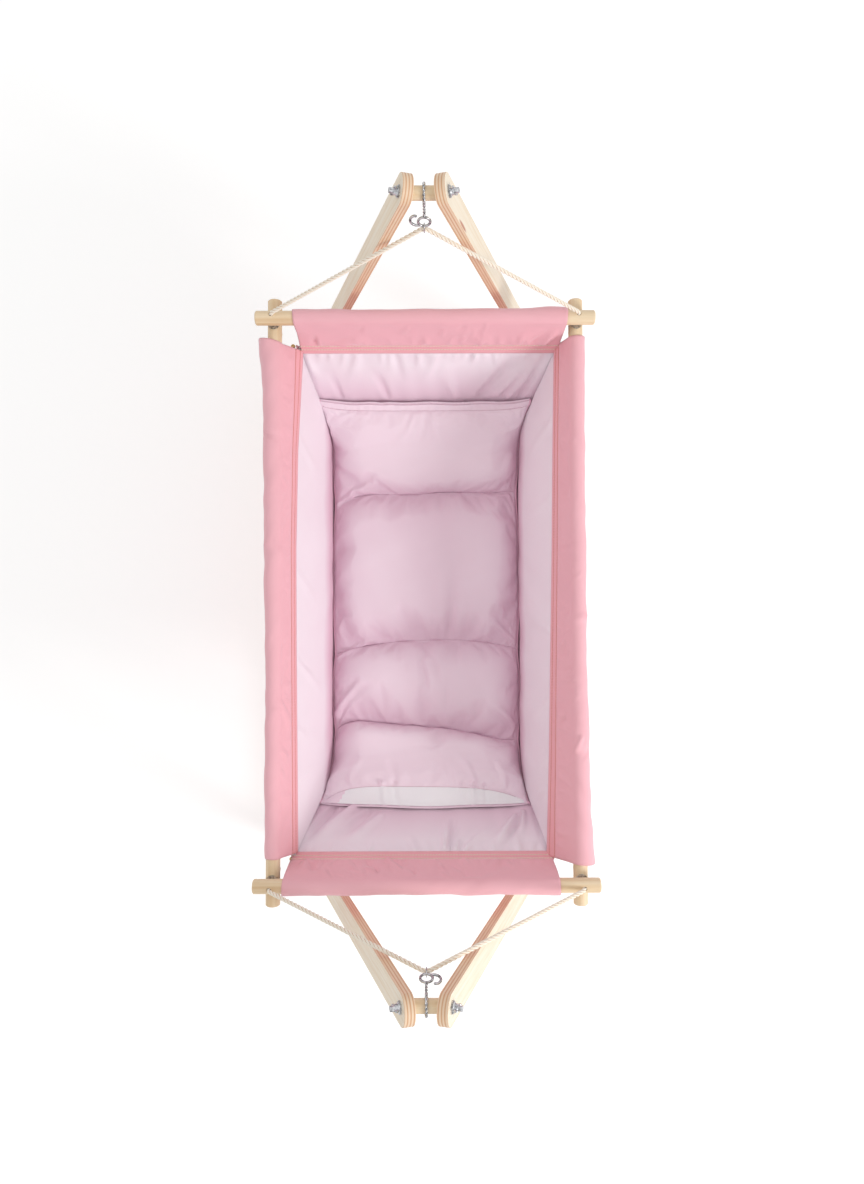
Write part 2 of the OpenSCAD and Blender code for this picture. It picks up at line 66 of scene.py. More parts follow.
def photo_camera():
    """Camera at the photograph's viewpoint."""
    lean, pan = CAMERA_LEAN, CAMERA_PAN
    ahead = Vector((math.sin(pan), math.sin(lean) * math.cos(pan), -math.cos(lean) * math.cos(pan)))
    up = Vector((0, math.cos(lean), math.sin(lean)))
    right = ahead.cross(up)
    turned_right = math.cos(CAMERA_ROLL) * right - math.sin(CAMERA_ROLL) * up
    turned_up = math.sin(CAMERA_ROLL) * right + math.cos(CAMERA_ROLL) * up
    axes = Matrix((turned_right, turned_up, -ahead)).transposed()
    data = bpy.data.cameras.new("photo_camera")
    data.lens = FOCAL_LENGTH_MM
    data.clip_end = 20
    camera = bpy.data.objects.new("photo_camera", data)
    bpy.context.scene.collection.objects.link(camera)
    camera.matrix_world = Matrix.Translation(CAMERA_PLACE) @ axes.to_4x4()
    return camera


bpy.context.scene.camera = photo_camera()
bpy.context.scene.view_settings.view_transform = "Standard"
print("camera", round(CAMERA_PLACE.z, 3), "m up,", FOCAL_LENGTH_MM, "mm lens")

# %% [markdown]
# ## Helpers for shaders
# Each finish is a node material. These helpers keep the finishes short to write: one starts a
# material, one adds a node and sets its values by name, and one turns a screen colour into the
# linear colour that a shader takes.

# %% Shader helpers


def linear(red, green, blue):
    """Linear colour of a screen colour given as 0 to 255."""
    def one(value):
        value /= 255
        return value / 12.92 if value <= 0.04045 else ((value + 0.055) / 1.055) ** 2.4
    return (one(red), one(green), one(blue), 1.0)


class Finish:
    """A node material, with short ways to add nodes and join them."""

    def __init__(self, name, roughness, metallic=0.0, sheen=0.0):
        self.material = bpy.data.materials.new(name)
        self.material.use_nodes = True
        self.nodes = self.material.node_tree.nodes
        self.links = self.material.node_tree.links
        self.shader = self.nodes["Principled BSDF"]
        self.shader.inputs["Roughness"].default_value = roughness
        self.shader.inputs["Metallic"].default_value = metallic
        if sheen:
            self.shader.inputs["Sheen Weight"].default_value = sheen
            self.shader.inputs["Sheen Roughness"].default_value = 0.4

    def add(self, kind, **values):
        """Adds a node. A value is a socket's name with _ for spaces, or a property's name."""
        node = self.nodes.new("ShaderNode" + kind)
        for key, value in values.items():
            if hasattr(node, key) and key not in node.inputs:
                setattr(node, key, value)
            else:
                self.set(node, key.replace("_", " "), value)
        return node

    def set(self, node, socket, value):
        """Sets a socket to a value, or joins another node's output to it."""
        if isinstance(value, bpy.types.NodeSocket):
            self.links.new(value, node.inputs[socket])
        else:
            node.inputs[socket].default_value = value

    def math(self, operation, first, second=0.0, third=0.0):
        """Output of a Math node."""
        node = self.nodes.new("ShaderNodeMath")
        node.operation = operation
        for index, value in enumerate((first, second, third)):
            self.set(node, index, value)
        return node.outputs[0]

    def ramp(self, factor, *stops):
        """Colour ramp from (position, colour) stops."""
        node = self.nodes.new("ShaderNodeValToRGB")
        ramp = node.color_ramp
        while len(ramp.elements) < len(stops):
            ramp.elements.new(0.5)
        for element, (position, colour) in zip(ramp.elements, stops):
            element.position, element.color = position, colour
        self.links.new(factor, node.inputs["Fac"])
        return node.outputs["Color"]

    def mix(self, factor, first, second):
        """Mixes two colours by a factor."""
        node = self.nodes.new("ShaderNodeMix")
        node.data_type = "RGBA"
        self.set(node, 0, factor)
        self.set(node, 6, first)
        self.set(node, 7, second)
        return node.outputs[2]

    def coordinates(self, scale=(1, 1, 1)):
        """The frame's coordinates, stretched."""
        place = self.nodes.new("ShaderNodeTexCoord")
        return self.add("Mapping", Vector=place.outputs["Object"], Scale=scale).outputs["Vector"]

    def noise(self, vector, scale, detail, roughness=0.5):
        """Smooth random value from 0 to 1."""
        return self.add("TexNoise", Vector=vector, Scale=scale, Detail=detail,
                        Roughness=roughness).outputs["Fac"]

    def finish(self, colour, height, depth, strength, roughness=None):
        """Joins a colour, a bump height and perhaps a roughness to the shader."""
        self.set(self.shader, "Base Color", colour)
        if roughness is not None:
            self.set(self.shader, "Roughness", roughness)
        bump = self.add("Bump", Height=height, Distance=depth, Strength=strength)
        self.set(self.shader, "Normal", bump.outputs["Normal"])
        return self.material


print("shader helpers ready")

# %% [markdown]
# ## Helpers for meshes
# A rope strand, a stitch and a bent wire are all tubes along a line of points. A curve object with
# a bevel could make them, but a mesh lets many short tubes share one piece, so one function makes
# tubes and another gathers them into a mesh.

# %% Mesh helpers


def mesh_piece(name, points, faces, material, uvs=None, smooth=True):
    """Object from points and faces, with one UV per point if given."""
    mesh = bpy.data.meshes.new(name)
    mesh.materials.append(material)
    mesh.from_pydata([tuple(p) for p in points], [], [tuple(f) for f in faces])
    if uvs is not None:
        layer = mesh.uv_layers.new(name="cloth")
        corners = np.zeros(len(mesh.loops), int)
        mesh.loops.foreach_get("vertex_index", corners)
        layer.data.foreach_set("uv", np.asarray(uvs, float)[corners].ravel())
    mesh.polygons.foreach_set("use_smooth", [smooth] * len(mesh.polygons))
    mesh.update()
    piece = bpy.data.objects.new(name, mesh)
    bpy.context.scene.collection.objects.link(piece)
    return piece


class Tubes:
    """Tubes gathered into one mesh."""

    def __init__(self):
        self.points, self.faces = [], []

    def add(self, line, radius, sides, round_ends=False):
        """Tube of that radius, or one radius per point, along a line of points."""
        line = np.asarray(line, float)
        radii = np.broadcast_to(np.asarray(radius, float), (len(line),)).copy()
        if round_ends:
            first, last = line[1] - line[0], line[-2] - line[-1]
            cap = 0.6 * radii[0]
            line = np.vstack([line[0] - cap * first / np.linalg.norm(first), line,
                              line[-1] - cap * last / np.linalg.norm(last)])
            radii = np.concatenate([[radii[0] * 0.5], radii, [radii[-1] * 0.5]])
        along = np.gradient(line, axis=0)
        along /= np.linalg.norm(along, axis=1)[:, None]
        side = np.cross(along[0], (0.3, 0.5, 0.81))
        start = len(self.points)
        angles = np.arange(sides) * 2 * math.pi / sides
        for centre, tangent, r in zip(line, along, radii):
            side -= tangent * (side @ tangent)
            side /= np.linalg.norm(side)
            other = np.cross(tangent, side)
            self.points.extend(centre + r * (math.cos(a) * side + math.sin(a) * other)
                               for a in angles)
        for ring in range(len(line) - 1):
            for k in range(sides):
                a, b = start + ring * sides + k, start + ring * sides + (k + 1) % sides
                self.faces.append((a, b, b + sides, a + sides))
        self.faces.append(tuple(start + k for k in reversed(range(sides))))
        self.faces.append(tuple(start + (len(line) - 1) * sides + k for k in range(sides)))

    def piece(self, name, material):
        """Object made of the tubes added so far."""
        return mesh_piece(name, self.points, self.faces, material)


def resample(line, count):
    """The same line with evenly spaced points."""
    line = np.asarray(line, float)
    steps = np.concatenate([[0], np.cumsum(np.linalg.norm(np.diff(line, axis=0), axis=1))])
    wanted = np.linspace(0, steps[-1], count)
    return np.stack([np.interp(wanted, steps, line[:, k]) for k in range(3)], axis=1)


def line_length(line):
    """How long a line of points is."""
    return float(np.linalg.norm(np.diff(np.asarray(line), axis=0), axis=1).sum())


print("mesh helpers ready")

# %% [markdown]
# ## The ropes
# Each end of the cradle hangs on one rope. It goes up from a knot under one side rod, through both
# rods, over the small link at the hanger, and down the other side to a second knot. Its three
# strands are laid together, which a smooth tube with a bump can't show against the light, so each
# strand is a tube of its own that winds round the route.

# %% Rope route
APEX_HEIGHT = 900 * MM
APEX_REACH = 563 * MM
SIDE_ROD_X = 267 * MM
SIDE_ROD_Z = 587 * MM
END_ROD_Y = 490 * MM
END_ROD_Z = 614 * MM
ROD_RADIUS = 12.5 * MM
BIGHT_RADIUS = 9 * MM
HANG_TILT = math.atan2(APEX_REACH - END_ROD_Y, APEX_HEIGHT - END_ROD_Z)
BIGHT_TOP = 72.35 * MM
ROPE_EXIT = 279.7 * MM
ROPE_BEND = 6 * MM
KNOT_DROP = 345.4 * MM
ENDS = {"head": 1, "foot": -1}
SIDES = {"left": -1, "right": 1}


def on_hang_line(x, drop, end):
    """Point in the frame, from its place across and down the line on which an end hangs."""
    return Vector((x, end * (APEX_REACH - drop * math.sin(HANG_TILT)),
                   APEX_HEIGHT - drop * math.cos(HANG_TILT)))


def half_rope_route():
    """(x, drop) points from the bight's top to the knot under the right-hand rods."""
    centre = BIGHT_TOP + BIGHT_RADIUS
    reach = math.hypot(SIDE_ROD_X, ROPE_EXIT - centre)
    leave = math.acos(BIGHT_RADIUS / reach) - math.atan2(ROPE_EXIT - centre, SIDE_ROD_X)
    bight = [(BIGHT_RADIUS * math.sin(a), centre - BIGHT_RADIUS * math.cos(a))
             for a in np.linspace(0, math.pi / 2 - leave, 9)]
    slope = Vector((SIDE_ROD_X - bight[-1][0], ROPE_EXIT - bight[-1][1])).normalized()
    before = np.array((SIDE_ROD_X - ROPE_BEND * slope.x, ROPE_EXIT - ROPE_BEND * slope.y))
    corner = np.array((SIDE_ROD_X, ROPE_EXIT))
    after = np.array((SIDE_ROD_X, ROPE_EXIT + ROPE_BEND))
    turn = [tuple((1 - t) ** 2 * before + 2 * t * (1 - t) * corner + t * t * after)
            for t in np.linspace(0, 1, 7)]
    return bight + turn + [(SIDE_ROD_X, KNOT_DROP)]


def rope_route(end):
    """The rope's whole route at one end, from knot to knot."""
    half = half_rope_route()
    both = [(-x, drop) for x, drop in reversed(half)] + half[1:]
    return [on_hang_line(x, drop, end) for x, drop in both]


print("rope length", round(line_length(rope_route(1)), 3), "m between its knots")

# %% [markdown]
# The rope's finish is undyed cotton, and fine noise stands for its loose fibres. The grooves between
# the strands lie in shade, so a second, browner finish goes on a thin core that shows only there: it
# is painted shade.

# %% Rope finish


def rope_finish(name, pale):
    """Cotton of one tone, paler where its fibres stand up."""
    finish = Finish(name, roughness=0.9, sheen=0.3)
    place = finish.coordinates()
    fibre = finish.noise(place, 900, 3)
    patch = finish.noise(place, 60, 2)
    colour = finish.mix(finish.math("MULTIPLY", fibre, 0.6), pale, linear(250, 241, 228))
    colour = finish.mix(finish.math("MULTIPLY", patch, 0.25), colour, pale)
    return finish.finish(colour, height=fibre, depth=0.0004, strength=0.6)


ROPE = rope_finish("cotton_rope", linear(248, 238, 221))
# Painted shade: the browner finish of the core that shows in the grooves between the strands
ROPE_GROOVE_SHADE = rope_finish("cotton_rope_groove_shade", linear(196, 146, 108))

# %% Ropes
STRAND_RADIUS = 1.85 * MM
STRAND_OFFSET = 1.95 * MM
SHADE_CORE_RADIUS = 2.55 * MM
LAY_LENGTH = 26 * MM
KNOT_SIZE = 5.4 * MM
KNOT_SPREAD = 0.42
KNOT_RISE = 0.55
TAIL_LENGTH = 30 * MM


def strands_along(tubes, line, lay, strands=3, radius=STRAND_RADIUS, offset=STRAND_OFFSET,
                  sides=7):
    """Strands wound round a line, once round in each lay."""
    steps = max(8, int(line_length(line) / (lay / 12)))
    centre = resample(line, steps)
    along = np.gradient(centre, axis=0)
    along /= np.linalg.norm(along, axis=1)[:, None]
    side = np.cross(along[0], (0.1, 0.99, 0.05))
    run = np.linspace(0, line_length(line), steps)
    first, second = [], []
    for tangent in along:
        side = side - tangent * (side @ tangent)
        side /= np.linalg.norm(side)
        first.append(side)
        second.append(np.cross(tangent, side))
    first, second = np.array(first), np.array(second)
    for strand in range(strands):
        angle = strand * 2 * math.pi / strands + run / lay * 2 * math.pi
        away = np.cos(angle)[:, None] * first + np.sin(angle)[:, None] * second
        tubes.add(centre + offset * away, radius, sides)


def knot_line(x, end):
    """An overhand knot pulled up tight, whose loops lie round the rope under a side rod."""
    line = []
    for t in np.linspace(0, 2 * math.pi, 60):
        across = (math.sin(t) + 2 * math.sin(2 * t)) * KNOT_SIZE * KNOT_SPREAD
        deep = (math.cos(t) - 2 * math.cos(2 * t)) * KNOT_SIZE * KNOT_SPREAD
        up = -math.sin(3 * t) * KNOT_SIZE * KNOT_RISE
        line.append(on_hang_line(x, KNOT_DROP + 1 * MM, end) + Vector((across, deep, up)))
    return line


def make_rope(end_name):
    """One rope, and its two knots with their tails."""
    end = ENDS[end_name]
    route = rope_route(end)
    laid, knots = Tubes(), Tubes()
    strands_along(laid, route, LAY_LENGTH)
    strand_faces = len(laid.faces)
    # A thin core of browner cotton fills the grooves between the strands, as painted shade
    laid.add(resample(route, 160), SHADE_CORE_RADIUS, sides=8)
    for x in (-SIDE_ROD_X, SIDE_ROD_X):
        strands_along(knots, knot_line(x, end), LAY_LENGTH)
        tail = [on_hang_line(x, KNOT_DROP + drop, end) for drop in np.linspace(0, TAIL_LENGTH, 8)]
        strands_along(knots, tail, LAY_LENGTH)
    rope = laid.piece("rope_" + end_name + "_laid", ROPE)
    knots = knots.piece("rope_" + end_name + "_knots", ROPE)
    for piece in (rope, knots):
        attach(piece, "cradle")
    rope.data.materials.append(ROPE_GROOVE_SHADE)
    on_shade_core = np.arange(len(rope.data.polygons)) >= strand_faces
    rope.data.polygons.foreach_set("material_index", on_shade_core.astype(int))
    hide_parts("rope_" + end_name)


for end_name in ENDS:
    make_rope(end_name)
print("ropes made")

# %% [markdown]
# ## Light and floor
# A studio has one large soft lamp high on the right and a little towards the foot, a weak one
# opposite, and white all round. The world's white shows to the camera, to gloss and through glass,
# while the object is lit by a weaker white, so pale cloth doesn't wash out.

# %% World, lamps and floor
SURROUND = 0.74
# Each lamp: its place, its width and its power
LAMPS = {"key": ((2.7, -1.5, 2.25), 1.1, 55), "fill": ((-2.4, 1.2, 2.6), 2.2, 3)}
LAMP_TARGET = Vector((0, 0, 0.5))
FLOOR_REACH = 8
FLOOR_GLOW = 0.26


def studio_world():
    """White that a camera ray sees at full strength, and the object at less."""
    world = bpy.data.worlds.new("studio")
    world.use_nodes = True
    nodes, links = world.node_tree.nodes, world.node_tree.links
    path = nodes.new("ShaderNodeLightPath")
    sees, sees_any = nodes.new("ShaderNodeMath"), nodes.new("ShaderNodeMath")
    sees.operation = sees_any.operation = "MAXIMUM"
    strength = nodes.new("ShaderNodeMapRange")
    strength.inputs["To Min"].default_value = SURROUND
    strength.inputs["To Max"].default_value = 1.0
    links.new(path.outputs["Is Camera Ray"], sees.inputs[0])
    links.new(path.outputs["Is Glossy Ray"], sees.inputs[1])
    links.new(sees.outputs[0], sees_any.inputs[0])
    links.new(path.outputs["Is Transmission Ray"], sees_any.inputs[1])
    links.new(sees_any.outputs[0], strength.inputs["Value"])
    links.new(strength.outputs["Result"], nodes["Background"].inputs["Strength"])
    nodes["Background"].inputs["Color"].default_value = (1, 1, 1, 1)
    bpy.context.scene.world = world


def soft_lamp(name, place, size, power):
    """Round area lamp that shines on the cradle."""
    data = bpy.data.lights.new(name, "AREA")
    data.shape = "DISK"
    data.size = size
    data.energy = power
    lamp = bpy.data.objects.new(name, data)
    bpy.context.scene.collection.objects.link(lamp)
    lamp.location = place
    lamp.rotation_mode = "QUATERNION"
    lamp.rotation_quaternion = (LAMP_TARGET - Vector(place)).to_track_quat("-Z", "Y")


def floor_finish():
    """White floor that the camera sees a little brighter, so that it meets the white surround."""
    finish = Finish("studio_floor", roughness=0.95)
    finish.shader.inputs["Specular IOR Level"].default_value = 0.0
    path = finish.nodes.new("ShaderNodeLightPath")
    finish.shader.inputs["Base Color"].default_value = (0.93, 0.93, 0.925, 1)
    finish.shader.inputs["Emission Color"].default_value = (1, 1, 1, 1)
    glow = finish.math("MULTIPLY", path.outputs["Is Camera Ray"], FLOOR_GLOW)
    finish.set(finish.shader, "Emission Strength", glow)
    return finish.material


studio_world()
for name, (place, size, power) in LAMPS.items():
    soft_lamp(name, place, size, power)
corners = [(x * FLOOR_REACH, y * FLOOR_REACH, 0) for x, y in ((-1, -1), (1, -1), (1, 1), (-1, 1))]
floor = mesh_piece("floor", corners, [(0, 1, 2, 3)], floor_finish(), smooth=False)
print("studio lit")

# %% [markdown]
# ## Wood
# The legs and rails are birch plywood: a pale face with fine grain along the board, and edges that
# show the plies as thin light and dark stripes. The rods are pine, with straight grain along them.
# The stripes depend on how deep a point lies in the board, so the shader turns the frame's
# coordinates into the board's own: across the thickness, along the cradle and up the leg.

# %% Wood finishes
LEG_SPLAY = math.radians(17)
LEG_GAP = 40 * MM
PLY_THICKNESS = 2.3 * MM
EASED_WIDTH = 0.8 * MM
INNER_FACE = LEG_GAP / 2 * math.cos(LEG_SPLAY) + APEX_HEIGHT * math.sin(LEG_SPLAY)
EDGE_REDDENS_BELOW, REDDEST_FROM = 840 * MM, 500 * MM
# A knot in the wood: its place along the cradle and up, and its half widths
WOOD_KNOT = (548.5 * MM, 832 * MM)
WOOD_KNOT_HALF = (4.2 * MM, 22 * MM)


def plywood_finish(name, side, rail=False):
    """Plywood for the boards of one side. A rail lies inside the leg, on the same slope."""
    finish = Finish(name, roughness=0.45)
    finish.shader.inputs["Coat Weight"].default_value = 0.15
    finish.shader.inputs["Coat Roughness"].default_value = 0.35
    place = finish.nodes.new("ShaderNodeTexCoord")
    flat = finish.add("VectorRotate", rotation_type="Y_AXIS", Vector=place.outputs["Object"],
                      Angle=side * LEG_SPLAY).outputs["Vector"]
    facing = finish.add("VectorRotate", rotation_type="Y_AXIS", Vector=place.outputs["Normal"],
                        Angle=side * LEG_SPLAY).outputs["Vector"]
    parts = finish.add("SeparateXYZ", Vector=flat)
    face = finish.math("ABSOLUTE", finish.add("SeparateXYZ", Vector=facing).outputs["X"])
    # Grain on the broad face runs along the board
    stretch = (40, 2.2, 60) if rail else (40, 60, 2.2)
    grain_place = finish.add("Mapping", Vector=flat, Scale=stretch).outputs["Vector"]
    grain = finish.noise(grain_place, 3.4, 5, 0.6)
    fine = finish.noise(grain_place, 9, 3, 0.6)
    broad = finish.ramp(grain, (0.3, linear(234, 214, 183)), (0.5, linear(243, 229, 206)),
                        (0.75, linear(248, 240, 224)))
    broad = finish.mix(finish.math("MULTIPLY", fine, 0.2), broad, linear(212, 180, 142))
    # Plies on the edges
    wander = finish.math("SUBTRACT", finish.noise(flat, 4, 2), 0.5)
    wander = finish.math("MULTIPLY", wander, 0.8 * MM)
    depth = finish.math("ADD", parts.outputs["X"], wander)
    depth = finish.math("SUBTRACT", finish.math("ABSOLUTE", depth), INNER_FACE - PLY_THICKNESS)
    ply = finish.math("PINGPONG", finish.math("MULTIPLY", depth, 1 / PLY_THICKNESS), 1.0)
    streak_place = finish.add("Mapping", Vector=flat, Scale=(260, 20, 8)).outputs["Vector"]
    streak = finish.noise(streak_place, 1, 3)
    edge = finish.ramp(ply, (0.0, linear(204, 150, 112)), (0.2, linear(222, 178, 138)),
                       (0.5, linear(242, 216, 184)), (1.0, linear(248, 230, 204)))
    edge = finish.mix(finish.math("MULTIPLY", streak, 0.5), edge, linear(206, 150, 112))
    # The cut edges grow redder towards the floor
    height = finish.add("SeparateXYZ", Vector=place.outputs["Object"]).outputs["Z"]
    redder = finish.add("MapRange", Value=height, From_Min=EDGE_REDDENS_BELOW, From_Max=REDDEST_FROM,
                        To_Max=0.34).outputs["Result"]
    edge = finish.mix(redder, edge, linear(224, 168, 134))
    on_face = finish.math("GREATER_THAN", face, 0.6)
    colour = finish.mix(on_face, edge, broad)
    if side > 0 and not rail:
        # A reddish knot beside the edge of the head-end board on the right
        squares = []
        for value, middle, half in zip((parts.outputs["Y"], height), WOOD_KNOT, WOOD_KNOT_HALF):
            away = finish.math("DIVIDE", finish.math("SUBTRACT", value, middle), half)
            squares.append(finish.math("MULTIPLY", away, away))
        knot = finish.add("MapRange", Value=finish.math("ADD", *squares), From_Min=1.0,
                          From_Max=0.3, To_Max=0.95).outputs["Result"]
        colour = finish.mix(knot, colour, linear(190, 118, 84))
    return finish.finish(colour, height=finish.mix(on_face, ply, fine), depth=0.0003, strength=0.35)


def rod_finish(name, axis):
    """Pine with its grain along an axis."""
    finish = Finish(name, roughness=0.5)
    stretch = [55, 55, 55]
    stretch["XYZ".index(axis)] = 1.6
    place = finish.coordinates(scale=stretch)
    grain = finish.noise(place, 1.4, 6, 0.62)
    fine = finish.noise(place, 8, 3, 0.6)
    colour = finish.ramp(grain, (0.28, linear(220, 186, 144)), (0.5, linear(239, 215, 180)),
                         (0.72, linear(246, 230, 202)))
    colour = finish.mix(finish.math("MULTIPLY", fine, 0.22), colour, linear(196, 156, 110))
    return finish.finish(colour, height=fine, depth=0.0003, strength=0.3)


def dress(node, material):
    """Gives a CAD node a finish."""
    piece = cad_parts[node]
    piece.data.materials.clear()
    piece.data.materials.append(material)


def round_edges(piece, width, segments):
    """Adds a bevel to a piece's sharp edges."""
    bevel = piece.modifiers.new("rounded_edges", "BEVEL")
    bevel.width = width
    bevel.segments = segments
    bevel.limit_method = "ANGLE"
    bevel.angle_limit = math.radians(35)
    return bevel


def ease_edges(node):
    """Rounds the sharp edges of a CAD node slightly, so that they catch the light."""
    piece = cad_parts[node]
    weld = piece.modifiers.new("weld", "WELD")
    weld.merge_threshold = 0.01 * MM
    bevel = round_edges(piece, EASED_WIDTH, 2)
    # Without this the bevel slides far along the long thin triangles beside a hole, and faces flip
    bevel.loop_slide = False
    crisp = piece.modifiers.new("crisp_edges", "EDGE_SPLIT")
    crisp.split_angle = math.radians(15)
    piece.data.polygons.foreach_set("use_smooth", [True] * len(piece.data.polygons))


for side_name, side in SIDES.items():
    legs = plywood_finish("plywood_leg_" + side_name, side)
    rails = plywood_finish("plywood_rail_" + side_name, side, rail=True)
    for end_name in ENDS:
        dress("leg_" + end_name + "_" + side_name, legs)
        ease_edges("leg_" + end_name + "_" + side_name)
    dress("side_rail_" + side_name, rails)
    ease_edges("side_rail_" + side_name)
along_x, along_y = rod_finish("pine_across", "X"), rod_finish("pine_along", "Y")
for end_name in ENDS:
    for node in ("apex_rod_", "spreader_", "end_rod_"):
        dress(node + end_name, along_x)
for side_name in SIDES:
    dress("side_rod_" + side_name, along_y)
print("wood dressed")

# %% [markdown]
# ## Metal
# The hangers and links are bright wire, the screws and nuts are dull zinc, and the little snaps at
# the bag's corners are brass.

# %% Metal finishes
SCRATCH = 0.1


def metal_finish(name, colour, roughness):
    """Metal whose gloss and tone vary a little with handling."""
    finish = Finish(name, roughness=roughness, metallic=1.0)
    place = finish.coordinates()
    worn = finish.noise(place, 220, 4, 0.65)
    shade = finish.ramp(worn, (0.36, [c * 0.35 for c in colour[:3]] + [1]), (0.5, colour),
                        (0.66, [min(1, c * 1.45) for c in colour[:3]] + [1]))
    rough = finish.math("MULTIPLY_ADD", worn, SCRATCH, roughness - SCRATCH / 2)
    return finish.finish(shade, height=worn, depth=0.0002, strength=0.25, roughness=rough)


ZINC = metal_finish("zinc", linear(192, 193, 196), 0.3)
WIRE = metal_finish("bright_wire", linear(184, 184, 186), 0.24)
BRASS = metal_finish("brass", linear(216, 190, 140), 0.3)
for node in ("apex_studs", "apex_washers", "rail_bolts", "rail_nuts", "spreader_screws",
             "corner_washers"):
    dress(node, ZINC)
dress("corner_snaps", BRASS)
print("metal dressed")

# %% [markdown]
# The base board under the mattress is plain hardboard: brown, a little mottled, with no grain. It
# is hidden unless the bag is opened, but its solid is in the frame, so it gets its finish too.

# %% Base board


def board_finish():
    """Brown hardboard with darker chips in it."""
    finish = Finish("hardboard", roughness=0.8)
    place = finish.coordinates()
    chips = finish.noise(place, 260, 4, 0.7)
    colour = finish.ramp(chips, (0.3, linear(142, 104, 72)), (0.7, linear(176, 136, 98)))
    return finish.finish(colour, height=chips, depth=0.0003, strength=0.4)


dress("base_board", board_finish())
print("board dressed")

# %% [markdown]
# ## Wing nuts
# A wing nut is a small casting: a round hub with a collar, and two ears to turn it by. The hub is a
# list of radii and heights turned round an axis, as on a lathe. A screw modifier would do that too,
# but the list keeps hub and ears in one mesh. An ear is an outline given a thickness, and a bevel
# rounds all the edges.

# %% Wing nuts
LEG_TO_NUT = 17.7 * MM
# Radii and heights of the hub, and places across and up of an ear's outline, in mm
HUB_PROFILE = ((4.1, 0), (8, 0), (8, 1.2), (6.2, 2.2), (5.6, 4), (5.2, 5.8), (4.8, 6.4), (4.1, 6.5))
EAR_OUTLINE = ((3, 1), (7, 1.4), (9.8, 2.8), (11.6, 5.2), (11.8, 7.6), (10.4, 8.4), (8.6, 7.6),
               (7, 5.4), (4.4, 4.8))
EAR_THICKNESS = 2.6
HUB_SIDES = 36
NUT_ROUNDING = 0.6 * MM


def leg_place(side, end, out, along, up):
    """Point in the frame, from its place on a leg in mm: out of its face, along, up the leg."""
    x = LEG_GAP / 2 + out * MM * math.cos(LEG_SPLAY) - up * MM * math.sin(LEG_SPLAY)
    z = APEX_HEIGHT + out * MM * math.sin(LEG_SPLAY) + up * MM * math.cos(LEG_SPLAY)
    return Vector((side * x, end * (APEX_REACH + along * MM), z))


def turned(outline):
    """(out, along, up) points and faces of an outline of radii and heights turned round an axis."""
    points, faces = [], []
    count = len(outline)
    for k in range(HUB_SIDES):
        angle = 2 * math.pi * k / HUB_SIDES
        points += [(height, radius * math.cos(angle), radius * math.sin(angle))
                   for radius, height in outline]
        here, there = k * count, (k + 1) % HUB_SIDES * count
        faces += [(here + j, here + (j + 1) % count, there + (j + 1) % count, there + j)
                  for j in range(count)]
    return points, faces


def ear(flip):
    """(out, along, up) points and faces of one ear, its outline rounded at the given points."""
    corners = np.array(EAR_OUTLINE)
    rounded = []
    for k in range(len(corners)):
        before, here, after = corners[k - 1], corners[k], corners[(k + 1) % len(corners)]
        rounded += [0.75 * here + 0.25 * before, here * 0.9 + 0.05 * (before + after),
                    0.75 * here + 0.25 * after]
    count = len(rounded)
    points = [(up, layer * EAR_THICKNESS / 2, flip * across)
              for layer in (-1, 1) for across, up in rounded]
    faces = [tuple(range(count)), tuple(reversed(range(count, 2 * count)))]
    faces += [(k, k + count, (k + 1) % count + count, (k + 1) % count) for k in range(count)]
    return points, faces


def wing_nut(end_name, side_name):
    """Hub and ears in one mesh, on the outer face of a leg."""
    points, faces = [], []
    for part_points, part_faces in (turned(HUB_PROFILE), ear(1), ear(-1)):
        faces += [[i + len(points) for i in face] for face in part_faces]
        points += part_points
    places = [leg_place(SIDES[side_name], ENDS[end_name], out + LEG_TO_NUT / MM, along, up)
              for out, along, up in points]
    node = "wing_nut_" + end_name + "_" + side_name
    piece = mesh_piece(node + "_casting", places, faces, ZINC)
    shell = bmesh.new()
    shell.from_mesh(piece.data)
    bmesh.ops.recalc_face_normals(shell, faces=shell.faces)
    shell.to_mesh(piece.data)
    shell.free()
    round_edges(piece, NUT_ROUNDING, 3)
    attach(piece, node)
    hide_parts(node)


for end_name in ENDS:
    for side_name in SIDES:
        wing_nut(end_name, side_name)
print("wing nuts cast, hub", 2 * HUB_PROFILE[1][0], "mm across")

# %% [markdown]
# ## Hangers and links
# A hanger is bent from wire. A loop of two wires goes round the apex rod, and their twisted shank
# comes down to a ring, whose end curls out as an open hook. The rope's small oval link hangs in
# the ring. Every piece is a line of points in the slanted plane that the rope hangs in, with a tube
# along it. A bevelled curve would do, but the twist needs two tubes that share one mesh.

# %% Hangers and links
WIRE_RADIUS = 2 * MM
LOOP_RADIUS = 13.5 * MM
LOOP_DROP = 1.2 * MM
EYE_DROP = 57 * MM
EYE_RADIUS = 9 * MM
TWIST_RADIUS = 1.2 * MM
TWIST_OFFSET = 1.1 * MM
TWIST_LAY = 12 * MM
LINK_WIRE = 0.9 * MM
LINK_HALF_WIDTH = 4.8 * MM
LINK_ENDS = (62.8 * MM, 77.1 * MM)
# The hook's two bends: radius, and place across and up of the centre, in mm, then its angles
HOOK_BENDS = ((10.5, -10.2, 3, 286, 138, 30), (5, -14.1, 6.9, 132, 62, 10))


def hang_place(x, drop, deep, end):
    """Point in the frame, from its place across, down and through the slanted plane of an end."""
    through = Vector((0, end * math.cos(HANG_TILT), -math.sin(HANG_TILT)))
    return on_hang_line(end * x, drop, end) + through * float(deep)


def arc(radius, start, stop, steps):
    """Points on an arc round the origin, with its angles in degrees."""
    angles = np.radians(np.linspace(start, stop, steps))
    return np.stack([radius * np.cos(angles), radius * np.sin(angles)], axis=1)


